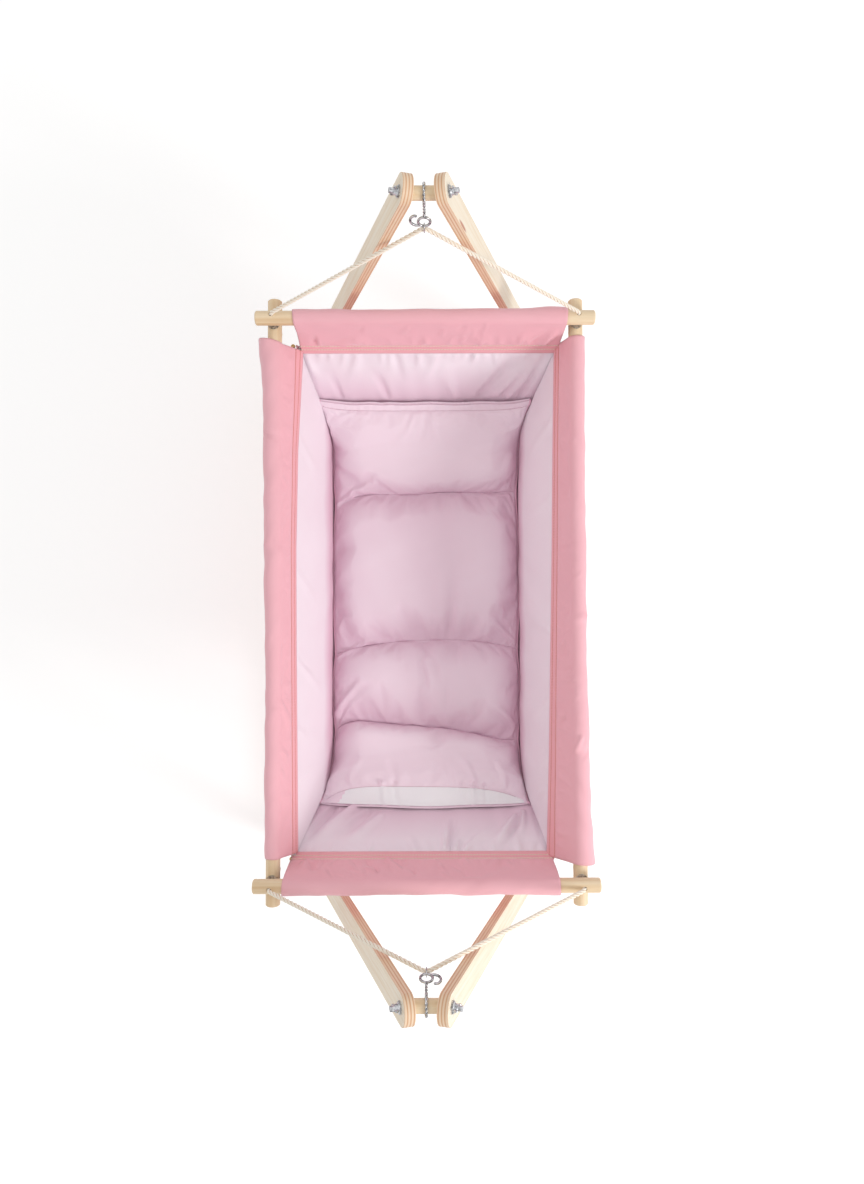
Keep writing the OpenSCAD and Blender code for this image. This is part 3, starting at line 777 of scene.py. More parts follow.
def make_hanger(end_name):
    """Twisted loop and shank, and the ring with its hook."""
    end = ENDS[end_name]
    twist, solid = Tubes(), Tubes()
    loop = [hang_place(0, LOOP_DROP - v, u, end) for u, v in arc(LOOP_RADIUS, -90, 270, 60)]
    shank_top, shank_end = LOOP_DROP + LOOP_RADIUS, EYE_DROP - EYE_RADIUS
    shank = [hang_place(0, drop, 0, end)
             for drop in np.linspace(shank_top - 1 * MM, shank_end + 1 * MM, 20)]
    for line in (loop, shank):
        strands_along(twist, line, TWIST_LAY, 2, TWIST_RADIUS, TWIST_OFFSET, sides=9)
    ring = [hang_place(u, EYE_DROP - v, 0, end) for u, v in arc(EYE_RADIUS, 90, 450, 48)]
    solid.add(ring, WIRE_RADIUS, sides=14)
    hook = [hang_place(u + across * MM, EYE_DROP - v - up * MM, 0, end)
            for radius, across, up, start, stop, steps in HOOK_BENDS
            for u, v in arc(radius * MM, start, stop, steps)]
    solid.add(hook, WIRE_RADIUS, sides=14, round_ends=True)
    for tubes, part in ((twist, "twist"), (solid, "ring")):
        piece = tubes.piece("hanger_" + end_name + "_" + part, WIRE)
        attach(piece, "stand")
        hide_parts("hanger_" + end_name)


def make_link(end_name):
    """Oval of thinner wire, seen edge-on from above."""
    end = ENDS[end_name]
    top, bottom = LINK_ENDS
    upper = [(u, top + LINK_HALF_WIDTH - v) for u, v in arc(LINK_HALF_WIDTH, 0, 180, 16)]
    lower = [(u, bottom - LINK_HALF_WIDTH - v) for u, v in arc(LINK_HALF_WIDTH, 180, 360, 16)]
    oval = Tubes()
    line = [hang_place(0, drop, deep, end) for deep, drop in upper + lower + upper[:2]]
    oval.add(line, LINK_WIRE, sides=12)
    piece = oval.piece("link_" + end_name + "_oval", WIRE)
    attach(piece, "cradle")
    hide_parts("link_" + end_name)


for end_name in ENDS:
    make_hanger(end_name)
    make_link(end_name)
print("hangers bent from", 2 * WIRE_RADIUS / MM, "mm wire")

# %% [markdown]
# ## Cloth
# The bag is sewn from pink cotton outside and lilac satin inside. Both are woven, so their finish
# has warp and weft threads in the cloth's own coordinates, which are metres along and across the
# cut. A slow noise changes the tone a little, as washing and handling do. Light low in the bag has
# passed from cloth to cloth, so the lining's colour is painted deeper there by its height, as painted
# shade.

# %% Cloth finishes
THREAD_PITCH = 0.55 * MM
THREAD_DEPTH = 0.12 * MM


def cloth_finish(name, lit, shaded, deep=None, heights=(0.51, 0.395), sheen=0.35,
                 roughness=0.75):
    """Plain weave in two tones of one colour, and perhaps a deeper one painted low in the bag as
    shade.
    """
    finish = Finish(name, roughness=roughness, sheen=sheen)
    place = finish.nodes.new("ShaderNodeTexCoord").outputs["UV"]
    cut = finish.add("SeparateXYZ", Vector=place)
    per_metre = 2 * math.pi / THREAD_PITCH
    waves = [finish.math("SINE", finish.math("MULTIPLY", cut.outputs[axis], per_metre))
             for axis in "XY"]
    thread = finish.math("MULTIPLY_ADD", finish.math("MULTIPLY", *waves), 0.5, 0.5)
    tone = finish.noise(place, 14, 3, 0.55)
    slub_place = finish.add("Mapping", Vector=place, Scale=(90, 900, 1)).outputs["Vector"]
    slub = finish.noise(slub_place, 1, 2)
    colour = finish.mix(finish.math("MULTIPLY", thread, 0.18), lit, shaded)
    colour = finish.mix(finish.math("MULTIPLY", tone, 0.3), colour, shaded)
    colour = finish.mix(finish.math("MULTIPLY", slub, 0.12), colour, lit)
    # Painted shade: the colour deepens towards the deep colour lower in the bag, by height
    if deep:
        height = finish.add("SeparateXYZ", Vector=finish.coordinates()).outputs["Z"]
        lower = finish.add("MapRange", Value=height, From_Min=heights[0], From_Max=heights[1],
                           To_Max=0.75)
        colour = finish.mix(lower.outputs["Result"], colour, deep)
    return finish.finish(colour, height=thread, depth=THREAD_DEPTH, strength=0.7)


PINK = cloth_finish("pink_cotton", linear(247, 189, 198), linear(234, 164, 174), sheen=0.55)
LILAC_LIT, LILAC_SHADED = linear(250, 241, 247), linear(240, 216, 228)
SATIN = {"sheen": 0.25, "roughness": 0.55}
# Painted shade: the lining and its side panels deepen in colour towards the bottom of the bag
LILAC_LOW_SHADE = cloth_finish("lilac_satin", LILAC_LIT, LILAC_SHADED, linear(222, 164, 192), **SATIN)
LILAC_SIDE_LOW_SHADE = cloth_finish("lilac_side_low_shade", LILAC_LIT, LILAC_SHADED, linear(230, 182, 203),
                          heights=(0.42, 0.385), **SATIN)
# Painted shade: a darker pink for the doubled hem bands, shaded between their stitch rows
SEAM_PINK_SHADE = cloth_finish("pink_seam_shade", linear(246, 182, 189), linear(232, 156, 164), sheen=0.4)
# Painted shade: the mattress deepens in colour where it lies low, at its sides and channels
PAD_LOW_SHADE = cloth_finish("lilac_pad_low_shade", linear(249, 231, 241), linear(235, 206, 219),
                   linear(218, 180, 199), heights=(0.404, 0.38), **SATIN)
# Painted shade: the piping is a darker pink so that the crevice beside the lining reads as shaded
PAD_PIPING_SHADE = cloth_finish("pad_piping_shade", linear(234, 190, 208), linear(218, 164, 186))
GUSSET = cloth_finish("white_gusset", linear(250, 250, 251), linear(238, 234, 240))


def thread_finish(name, colour):
    """Sewing thread, a little darker between its fibres."""
    finish = Finish(name, roughness=0.7, sheen=0.2)
    fibre = finish.noise(finish.coordinates(), 1500, 2)
    shade = finish.mix(fibre, colour, [c * 0.8 for c in colour[:3]] + [1])
    return finish.finish(shade, height=fibre, depth=0.1 * MM, strength=0.5)


STITCH = thread_finish("stitching_thread", linear(252, 238, 216))
SIDE_STITCH = thread_finish("salmon_thread", linear(240, 168, 160))
PALE_STITCH = thread_finish("pale_thread", linear(214, 174, 190))
print("cloth finishes ready")

# %% [markdown]
# ## The shape of the bag
# The bag hangs from the four casings as a trough: a flat floor, two sides that lean out, and two
# ends that curve up and lean out further. One long strip makes the floor and both ends, and a
# panel closes each side. The frame gives the inside surface, and every cloth here is that surface
# moved in or out a little.

# %% Bag surface
SEAM_HEIGHT = 545 * MM
FLOOR_HEIGHT = 350 * MM
SEAM_HALF_WIDTH = 237 * MM
FLOOR_HALF_WIDTH = 187 * MM
SEAM_HALF_LENGTH = 459 * MM
END_SLOPE = math.radians(59.8)
BEND_RADIUS = 104 * MM
WALL_LEAN = (SEAM_HALF_WIDTH - FLOOR_HALF_WIDTH) / (SEAM_HEIGHT - FLOOR_HEIGHT)
SLOPE_FOOT = SEAM_HALF_LENGTH - (SEAM_HEIGHT - FLOOR_HEIGHT) / math.tan(END_SLOPE)
BEND_START = SLOPE_FOOT - BEND_RADIUS * math.tan(END_SLOPE / 2)
BEND_LENGTH = BEND_RADIUS * END_SLOPE
BEND_RISE = BEND_RADIUS * (1 - math.cos(END_SLOPE))
WALL_LENGTH = (SEAM_HEIGHT - FLOOR_HEIGHT - BEND_RISE) / math.sin(END_SLOPE)
STRIP_HALF = BEND_START + BEND_LENGTH + WALL_LENGTH


def profile(along, off=0.0):
    """Y and Z on the strip, at a distance along it from its middle and a height off it, inward."""
    distance = np.abs(along)
    angle = np.clip((distance - BEND_START) / BEND_RADIUS, 0, END_SLOPE)
    run = np.maximum(distance - BEND_START - BEND_LENGTH, 0)
    flat = np.minimum(distance, BEND_START)
    reach = flat + (BEND_RADIUS - off) * np.sin(angle) + run * math.cos(END_SLOPE)
    rise = BEND_RADIUS - (BEND_RADIUS - off) * np.cos(angle) + run * math.sin(END_SLOPE)
    return np.sign(along) * reach, FLOOR_HEIGHT + rise


# How far each side seam is drawn in, in mm, at even steps from the foot to the head
SEAM_DRAW = {"left": (2, 0, -2, -3, 0, 9), "right": (18, 12, 8, 4, 1, -3)}


def share_up(height):
    """How far a height lies up the bag, from 0 at the floor to 1 at the seam."""
    return np.clip((height - FLOOR_HEIGHT) / (SEAM_HEIGHT - FLOOR_HEIGHT), 0, 1)


def wall_x(side_name, y, height):
    """Distance of a side wall from the middle, with its seam drawn in."""
    stations = np.linspace(-SEAM_HALF_LENGTH, SEAM_HALF_LENGTH, len(SEAM_DRAW[side_name]))
    drawn = np.interp(y, stations, SEAM_DRAW[side_name]) * MM * share_up(height) ** 1.5
    return FLOOR_HALF_WIDTH + (height - FLOOR_HEIGHT) * WALL_LEAN - drawn


def wall_x_both(x, y, height):
    """The same, on the side where x is."""
    return np.where(x < 0, wall_x("left", y, height), wall_x("right", y, height))


print("strip is", round(2 * STRIP_HALF, 3), "m from seam to seam")

# %% [markdown]
# Real cloth is never quite even. Small helpers make it so: one eases a value between two
# limits, one wanders smoothly, one raises a soft fold along a line on the cloth, and two scatter
# such folds, below a seam or round one place.

# %% Folds and ripples
RIPPLE_WAVES = 6


def smooth_step(low, high, value):
    """Eases from 0 at low to 1 at high."""
    t = np.clip((value - low) / (high - low), 0, 1)
    return t * t * (3 - 2 * t)


def ripple(value, seed):
    """Smooth wandering value between about -1 and 1, the same each run."""
    source = random.Random(seed)
    total, size = 0.0, 0.0
    for k in range(RIPPLE_WAVES):
        weight = 1 / (1 + k) ** 0.6
        turns = value * (1 + k * 0.83) * source.uniform(0.8, 1.2)
        total = total + weight * np.sin(turns + source.uniform(0, 6.3))
        size += weight
    return 1.8 * total / size


def fold(across, along, start, end, width, height):
    """A ridge from start to end, (across, along) in mm, with a valley on each side.

    It widens and fades towards its end. Width and height are in mm too.
    """
    start, end = np.array(start) * MM, np.array(end) * MM
    length = np.hypot(*(end - start))
    way = (end - start) / length
    run = ((across - start[0]) * way[0] + (along - start[1]) * way[1]) / length
    aside = (along - start[1]) * way[0] - (across - start[0]) * way[1]
    spread = aside / (width * MM * (0.6 + 0.7 * np.clip(run, 0, 1)))
    fading = smooth_step(-0.1, 0.08, run) * (1 - smooth_step(0.3, 1.05, run))
    return height * MM * fading * (1 - 0.7 * spread ** 2) * np.exp(-spread ** 2)


def gathers(across, depth, half, spacing, seed, height, length=(26, 60)):
    """Short folds that hang from a seam. depth is the distance below it."""
    source = random.Random(seed)
    total = 0.0
    place = -half + spacing * 0.4
    while place < half:
        end = (place + source.uniform(-12, 12), source.uniform(*length))
        width = source.uniform(5, 9)
        size = height * source.uniform(0.5, 1.2)
        total = total + fold(across, depth, (place, -4), end, width, size)
        place += spacing * source.uniform(0.65, 1.35)
    return total


def creases(across, along, half, number, height, crowd, seed):
    """Short slanting folds, most of them near one place."""
    source = random.Random(seed)
    total = 0.0
    for _ in range(number):
        place = source.triangular(-half, half, crowd * half)
        top = source.uniform(40, 88)
        end = (place - source.uniform(6, 26), top - source.uniform(20, 40))
        size = height * source.uniform(0.5, 1.1) * source.choice((1, 1, -1))
        total = total + fold(across, along, (place, top), end, source.uniform(4, 7.5), size)
    return total


sample = float(fold(0.0, 0.01, (0, -4), (0, 60), 8, 4))
print("a fold 4 mm high measures", round(sample / MM, 2), "mm near its top")

# %% [markdown]
# A sheet of cloth is a grid of points. The same grid gives its normals, to move it in and out, and
# its cut coordinates in metres, which the weave follows. A padded sheet has a second grid behind
# the first, and a rim that closes the two.

# %% Cloth sheets from a grid
CLOTH_THICKNESS = 1.2 * MM
# Pitch, length, radius and lift of a stitch
BOLD_STITCH = (5.2 * MM, 3.3 * MM, 0.85 * MM, 0.45 * MM)
FINE_STITCH = (4.4 * MM, 2.9 * MM, 0.6 * MM, 0.3 * MM)


def grid_faces(rows, cols, start=0, flipped=False):
    """Quads of a grid of points, row by row."""
    faces = []
    for r in range(rows - 1):
        for c in range(cols - 1):
            a = start + r * cols + c
            quad = (a, a + 1, a + cols + 1, a + cols)
            faces.append(quad[::-1] if flipped else quad)
    return faces


def grid_normals(points):
    """Unit normals of a grid of points, shaped (rows, columns, 3)."""
    across = np.cross(np.gradient(points, axis=1), np.gradient(points, axis=0))
    size = np.linalg.norm(across, axis=2)
    return across / np.maximum(size, 1e-12)[:, :, None]


def cut_coordinates(points):
    """Metres across and along the cut at each point of a grid."""
    rows, cols, _ = points.shape
    down = np.linalg.norm(np.diff(points, axis=0), axis=2).mean(axis=1)
    over = np.linalg.norm(np.diff(points, axis=1), axis=2)
    v = np.concatenate([[0], np.cumsum(down)])[:, None] * np.ones((1, cols))
    u = np.concatenate([np.zeros((rows, 1)), np.cumsum(over, axis=1)], axis=1)
    u = u - u[:, cols // 2][:, None]
    return np.stack([u, v], axis=2).reshape(-1, 2)


def cloth_grid(name, points, material):
    """Sheet of cloth through a grid of points, with its thickness behind it."""
    rows, cols, _ = points.shape
    piece = mesh_piece(name, points.reshape(-1, 3), grid_faces(rows, cols), material,
                       cut_coordinates(points))
    solid = piece.modifiers.new("cloth_thickness", "SOLIDIFY")
    solid.thickness = CLOTH_THICKNESS
    solid.offset = -1
    return piece


def padded_grid(name, front, back, material):
    """Closed sheet between two grids of points."""
    rows, cols, _ = front.shape
    count = rows * cols
    faces = grid_faces(rows, cols) + grid_faces(rows, cols, count, flipped=True)
    rim = [r * cols for r in range(rows)] + [(rows - 1) * cols + c for c in range(1, cols)]
    rim += [r * cols + cols - 1 for r in range(rows - 2, -1, -1)] + list(range(cols - 2, 0, -1))
    for a, b in zip(rim, rim[1:] + rim[:1]):
        faces.append((a, a + count, b + count, b))
    points = np.vstack([front.reshape(-1, 3), back.reshape(-1, 3)])
    uvs = cut_coordinates(front)
    return mesh_piece(name, points, faces, material, np.vstack([uvs, uvs]))


def grid_line(points, row=None, col=None):
    """The points of one row or one column, which may lie between two."""
    lines = points if row is not None else points.swapaxes(0, 1)
    index = row if row is not None else col
    low = int(math.floor(index))
    share = index - low
    if share < 1e-6:
        return lines[low]
    return lines[low] * (1 - share) + lines[low + 1] * share


def stitch_line(stitches, line, normals, sizes):
    """A row of stitches along a line on the cloth, of a given pitch, length, radius and lift."""
    pitch, length, radius, lift = sizes
    steps = int(line_length(line) / pitch)
    places = resample(line, steps + 1)
    ups = resample(normals, steps + 1)
    for k in range(steps):
        way = places[k + 1] - places[k]
        size = np.linalg.norm(way)
        if size < 1e-6:
            continue
        half = way / size * length / 2
        up = ups[k] / max(np.linalg.norm(ups[k]), 1e-9)
        middle = places[k] + way / 2 + up * lift
        sunk = up * 0.25 * MM
        stitches.add([middle - half - sunk, middle + up * 0.1 * MM, middle + half - sunk],
                     radius, sides=5, round_ends=True)


print("sheet helpers ready")

# %% [markdown]
# ## The lining
# The lining is the padded lilac cloth inside. Its end walls are cut a little wider than the place
# they fill and gathered into the top seam, so short folds hang from it. The two side panels bulge
# in over the edges of the mattress. A simulation could drape these, but the folds in the picture
# are few and plain to see, so each is put where it is seen and small gathers fill the rest.

# %% Lining strip
# Rows and columns of points on the strip
LINING_GRID = (340, 130)
LINING_BACK = 5.9 * MM
SEAM_TUCK = 3 * MM
HEM_BAND = 8 * MM
FOLDS_FROM = 16 * MM
EDGE_FADE = 9 * MM
RELIEF_LIMITS = (-5.2 * MM, 10 * MM)
# Half the length of seam that gathers take on an end wall and on a side, in mm
WALL_GATHERED = 225
SIDE_GATHERED = 440
SIDE_BULGE = {"left": 6 * MM, "right": 11 * MM}
# Each fold: where it starts and ends, (across, below the seam), then its width and height, in mm
HEAD_WALL_FOLDS = [
    ((106, 120), (174, 10), 14, -5.5), ((136, 116), (198, 26), 12, 3.5),
    ((160, 122), (208, 36), 10, 3.8), ((183, 122), (224, 12), 9, -4.8),
    ((-228, 10), (-196, 90), 10, 3.6), ((-120, 0), (-150, 100), 13, 3.2),
    ((-62, 0), (-40, 95), 12, -3.6), ((22, 0), (0, 90), 12, 3.0), ((-74, 122), (-98, 45), 12, -3.8),
    ((-165, 122), (-182, 50), 10, -3.2), ((60, 122), (40, 60), 14, 2.6), ((95, 0), (80, 60), 9, 2.8),
]
FOOT_WALL_FOLDS = [
    ((-176, 128), (-234, 26), 12, -4.8), ((-138, 128), (-212, 34), 14, 5.2),
    ((-110, 116), (-164, 40), 12, -4.8), ((-86, 104), (-150, 24), 13, 4.0),
    ((31, 10), (38, 110), 8, 4.4), ((43, 18), (48, 100), 6, -3.6), ((53, 8), (56, 52), 6, 3.4),
    ((64, 6), (118, 80), 10, 3.4), ((168, 100), (114, 10), 10, 5.4), ((172, 84), (132, 20), 8, -3.6),
    ((184, 112), (172, 44), 7, 4.4), ((208, 110), (218, 30), 10, -3.6), ((-20, 0), (-34, 60), 9, 2.8),
]
# What share of its folds' heights a wall shows, then its gathers' spacing, seed and height
HEAD_GATHERS = (1.5, 21, 11, 4.0)
FOOT_GATHERS = (2.1, 25, 12, 3.4)


def side_bulge(side_name, y, height):
    """How far a side panel leans in from the frame's plane."""
    ends = 1 - np.clip(np.abs(y) / SEAM_HALF_LENGTH, 0, 1) ** 5
    uneven = 1 + 0.22 * ripple(y * 14, 7 if side_name == "left" else 8)
    return SIDE_BULGE[side_name] * np.sin(math.pi * share_up(height) ** 0.8) * ends * uneven


def end_wall_relief(x, along):
    """Height of the gathers and folds of both end walls."""
    below = STRIP_HALF - np.abs(along)
    relief = 0.0
    for there, folds, (share, *gathered) in ((along > 0, HEAD_WALL_FOLDS, HEAD_GATHERS),
                                             (along < 0, FOOT_WALL_FOLDS, FOOT_GATHERS)):
        relief = relief + gathers(x, below, WALL_GATHERED, *gathered) * there
        for one in folds:
            relief = relief + share * fold(x, below, *one) * there
    uneven = 1.0 * MM * ripple(x * 38 + along * 9, 21)
    relief = relief + uneven * smooth_step(0.3, 0.45, np.abs(along))
    return np.clip(relief, *RELIEF_LIMITS)


def strip_points(rows, cols, off_of, tuck):
    """Grid on the strip. off_of gives heights off the frame's inside surface from x and along."""
    along = np.linspace(-STRIP_HALF, STRIP_HALF, rows)[:, None] * np.ones((1, cols))
    share = np.linspace(-1, 1, cols)[None, :] * np.ones((rows, 1))
    x = share * (wall_x_both(share, *profile(along)) + tuck)
    y, z = profile(along, off_of(x, along))
    return np.stack([x, y, z], axis=2)


def lining_strip():
    """Floor and both end walls in one, with folds on the walls and a flat floor."""
    def front(x, along):
        inside = smooth_step(0, EDGE_FADE, wall_x_both(x, *profile(along)) - np.abs(x))
        seam = inside * smooth_step(HEM_BAND, FOLDS_FROM, STRIP_HALF - np.abs(along))
        flat = 1 - smooth_step(0.25, 0.34, np.abs(along))
        return end_wall_relief(x, along) * seam * (1 - flat) - 1.2 * MM * (1 - inside)

    def back(x, along):
        return x * 0 - LINING_BACK

    return padded_grid("lining_strip", strip_points(*LINING_GRID, front, SEAM_TUCK),
                       strip_points(*LINING_GRID, back, SEAM_TUCK), LILAC_LOW_SHADE)


strip = lining_strip()
print("lining strip", len(strip.data.vertices), "points")

# %% Lining sides
PANEL_GRID = (300, 56)
# Each fold: where it starts and ends, (along, above the floor), then its width and height, in mm
SIDE_FOLDS = {
    "left": [((60, 195), (-20, 90), 14, 1.8), ((-105, 190), (-190, 60), 12, 2.2),
             ((-230, 195), (-265, 120), 12, 1.8), ((300, 190), (230, 80), 16, 1.8),
             ((-330, 180), (-300, 90), 12, 2.4)],
    "right": [((190, 190), (150, 80), 16, 2.4), ((330, 185), (270, 70), 18, 3.5),
              ((-60, 190), (-20, 70), 15, 2.0), ((-270, 195), (-330, 120), 12, 3.0),
              ((-340, 185), (-380, 110), 10, 3.0), ((-180, 190), (-250, 70), 16, 2.6)],
}


def side_points(side_name, rows, cols, out=0.0, relief_of=None, bulging=1.0, below=0.0):
    """Grid on a side panel, up to the seam from the strip's edge or a little below it.

    out moves it away from the bag's inside.
    """
    side = SIDES[side_name]
    along = np.linspace(-STRIP_HALF, STRIP_HALF, rows)[:, None] * np.ones((1, cols))
    rise = np.linspace(0, 1, cols)[None, :] * np.ones((rows, 1))
    low_y, low_z = profile(along, -below)
    top_y = along / STRIP_HALF * SEAM_HALF_LENGTH
    y = low_y + rise * (top_y - low_y)
    z = low_z + rise * (SEAM_HEIGHT - low_z)
    inward = side_bulge(side_name, y, z) * bulging * smooth_step(0, 0.12, rise)
    height = z - FLOOR_HEIGHT
    relief = relief_of(y, height) if relief_of else 0.0
    x = side * (wall_x(side_name, y, z) + out - inward - relief)
    points = np.stack([x, y, z], axis=2)
    return points[:, ::-1] if side < 0 else points


def lining_side(side_name):
    """One padded side panel, with its folds and the small gathers below its seam."""
    seed = 31 if side_name == "left" else 32

    def relief(y, height):
        below = SEAM_HEIGHT - FLOOR_HEIGHT - height
        total = gathers(y, below, SIDE_GATHERED, 34, seed, 1.1, length=(14, 30))
        for one in SIDE_FOLDS[side_name]:
            total = total + fold(y, height, *one)
        total = total + 0.9 * MM * ripple(y * 21 + height * 15, seed + 5)
        ends = smooth_step(0, 12 * MM, SEAM_HALF_LENGTH - np.abs(y))
        seams = smooth_step(0, 20 * MM, height) * smooth_step(HEM_BAND, FOLDS_FROM, below)
        return total * ends * seams

    front = side_points(side_name, *PANEL_GRID, relief_of=relief)
    back = side_points(side_name, *PANEL_GRID, out=LINING_BACK, bulging=0.0)
    return padded_grid("lining_panel_" + side_name, front, back, LILAC_SIDE_LOW_SHADE)


panels = [lining_side(side_name) for side_name in SIDES]
for piece in [strip] + panels:
    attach(piece, "cradle")
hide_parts("lining_head", "lining_foot", "lining_floor")
for piece, side_name in zip(panels, SIDES):
    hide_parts("lining_" + side_name)
print("lining made")

# %% [markdown]
# ## The outside of the bag
# The pink cotton outside is the same strip and panels, a little further out. It isn't padded, so it
# hangs in soft waves between its seams. A cord is sewn into the seam where a side panel meets the
# strip, which keeps that edge crisp.

# %% Outer cloth
BAG_STRIP_GRID = (260, 90)
BAG_SIDE_GRID = (240, 46)
SHELL_OUT = 7.4 * MM
PIPING_RADIUS = 1.9 * MM


def shell_wave(x, along, seed, size):
    """Broad soft waves, and shorter ones across them."""
    broad = 0.6 * ripple(x * 13 + along * 7, seed)
    return size * (broad + 0.4 * ripple(along * 31 - x * 11, seed + 1))


def shell_strip():
    """Outside of the floor and both end walls."""
    def out(x, along):
        seam = smooth_step(0, 25 * MM, wall_x_both(x, *profile(along)) - np.abs(x))
        top = smooth_step(0, 20 * MM, STRIP_HALF - np.abs(along))
        wall = smooth_step(0.27, 0.36, np.abs(along))
        wave = shell_wave(x, along, 42, 1.6 * MM) + 1.6 * MM
        pucker = gathers(x, STRIP_HALF - np.abs(along), WALL_GATHERED, 30, 41, 1.0)
        return -SHELL_OUT - wave * seam * top * wall - pucker * top * seam

    points = strip_points(*BAG_STRIP_GRID, out, SHELL_OUT)
    return cloth_grid("bag_strip", points[:, ::-1], PINK)


def shell_side(side_name):
    """Outside of one side, between the strip and the seam."""
    def relief(y, height):
        below = SEAM_HEIGHT - FLOOR_HEIGHT - height
        wave = 2.2 * MM * np.sin(math.pi * np.clip(height / (SEAM_HEIGHT - FLOOR_HEIGHT), 0, 1))
        wave = wave + shell_wave(height, y, 45, 1.5 * MM)
        fade = smooth_step(0, 30 * MM, SEAM_HALF_LENGTH - np.abs(y))
        fade = fade * smooth_step(0, 25 * MM, height) * smooth_step(0, 18 * MM, below)
        return -np.maximum(wave, -1.0 * MM) * fade

    points = side_points(side_name, *BAG_SIDE_GRID, out=SHELL_OUT, relief_of=relief,
                         bulging=0.0, below=SHELL_OUT)
    return cloth_grid("bag_side_" + side_name, points[:, ::-1], PINK)


def bag_piping(side_name):
    """Cord sewn into the seam between a side panel and the strip."""
    side = SIDES[side_name]
    along = np.linspace(-STRIP_HALF, STRIP_HALF, 220)
    y, z = profile(along, -SHELL_OUT - 0.4 * MM)
    x = side * (wall_x(side_name, *profile(along)) + SHELL_OUT + 0.3 * MM)
    cord = Tubes()
    cord.add(np.stack([x, y, z], axis=1), PIPING_RADIUS, sides=10, round_ends=True)
    return cord.piece("bag_piping_" + side_name, PINK)


outside = shell_strip()
outside_panels = [shell_side(side_name) for side_name in SIDES]
pipings = [bag_piping(side_name) for side_name in SIDES]
for piece in [outside] + outside_panels + pipings:
    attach(piece, "cradle")
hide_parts("shell_head", "shell_foot", "shell_floor")
for piece, side_name, piping in zip(outside_panels, SIDES, pipings):
    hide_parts("shell_" + side_name)
print("outside made")

# %% [markdown]
# ## The casings
# A casing is a wide pink hem that holds a rod. Its cloth comes up from the seam inside the bag,
# goes over the rod and down to the seam outside. It is cut loose, so it doesn't follow the rod
# closely: each cross-section is a rod-shaped loop drawn to a point, and the loop grows where the
# cloth stands away from the rod, most of all at the open ends.

# %% Casing sections
SECTION_POINTS = 74
ROD_CLEAR = ROD_RADIUS + CLOTH_THICKNESS + 0.3 * MM


def tangent_angle(centre, radius, point, turn):
    """Angle on a circle where a line from a point touches it."""
    away = np.subtract(point, centre)
    return math.atan2(away[1], away[0]) + turn * math.acos(min(1.0, radius / np.hypot(*away)))


def casing_section(centre, radius, inner, outer, lean):
    """Outline (out, up) of the cloth: band inside, up, over the rod, down, band outside."""
    start = tangent_angle(centre, radius, inner, -1)
    end = tangent_angle(centre, radius, outer, 1)
    start, end = start % (2 * math.pi), end % (2 * math.pi)
    if start < end:
        start += 2 * math.pi
    over_rod = [(centre[0] + radius * math.cos(a), centre[1] + radius * math.sin(a))
                for a in np.linspace(start, end, 40)]
    low_in = (inner[0] - HEM_BAND * lean, inner[1] - HEM_BAND)
    low_out = (outer[0] - HEM_BAND * lean, outer[1] - HEM_BAND)
    line = np.array([(0.0, *p) for p in [low_in, inner] + over_rod + [outer, low_out]])
    return resample(line, SECTION_POINTS)[:, 1:]


def casing_points(reach, height, inner_at, outer, lean, radius_at, shift_at, ends_at, steps):
    """Grid of a casing: (out, run, up), where run is the place along the rod."""
    grid = np.zeros((steps, SECTION_POINTS, 3))
    share = np.linspace(0, 1, SECTION_POINTS)
    low, high = ends_at(share)
    for k, v in enumerate(np.linspace(0, 1, steps)):
        shift = shift_at(v)
        centre = (reach + shift[0], height + shift[1])
        section = casing_section(centre, radius_at(v), inner_at(v), outer, lean)
        grid[k, :, 0], grid[k, :, 2] = section[:, 0], section[:, 1]
        grid[k, :, 1] = low + v * (high - low)
    return grid


def clear_of_rod(points, sign, reach, height, side):
    """Moves points that lie inside the rod out to its surface."""
    axis = 0 if side else 1
    out = points[:, :, axis] - sign * reach
    up = points[:, :, 2] - height
    push = np.maximum(1, ROD_CLEAR / np.maximum(np.hypot(out, up), 1e-6))
    points[:, :, axis] = sign * reach + out * push
    points[:, :, 2] = height + up * push
    return points


print("casing sections have", SECTION_POINTS, "points")

# %% Casing shapes
# How far out the cloth stands, in mm, at even steps from the foot or left end to the other
CASING_EDGE = {
    "left": (281, 281, 282, 281, 281, 284, 286, 286, 287, 289, 298),
    "right": (293, 287, 285, 283, 281.5, 281.5, 282, 281.5, 281.5, 282, 284.5),
    "head": (504, 505, 505, 504, 504, 504.5, 505, 506, 507, 508, 509),
    "foot": (507, 506, 504.5, 504, 504, 504, 504, 504, 505, 506, 507),
}
# The low and high hem, in mm, at four places from the seam inside to the seam outside
CASING_HEMS = {
    "left": ((-453, -450, -449, -450), (456, 453, 462, 454)),
    "right": ((-460, -459, -461, -455), (463, 463, 464, 456)),
    "head": ((-228, -227, -231, -226), (241, 246, 248, 240)),
    "foot": ((-240, -244, -246, -240), (222, 226, 227, 222)),
}
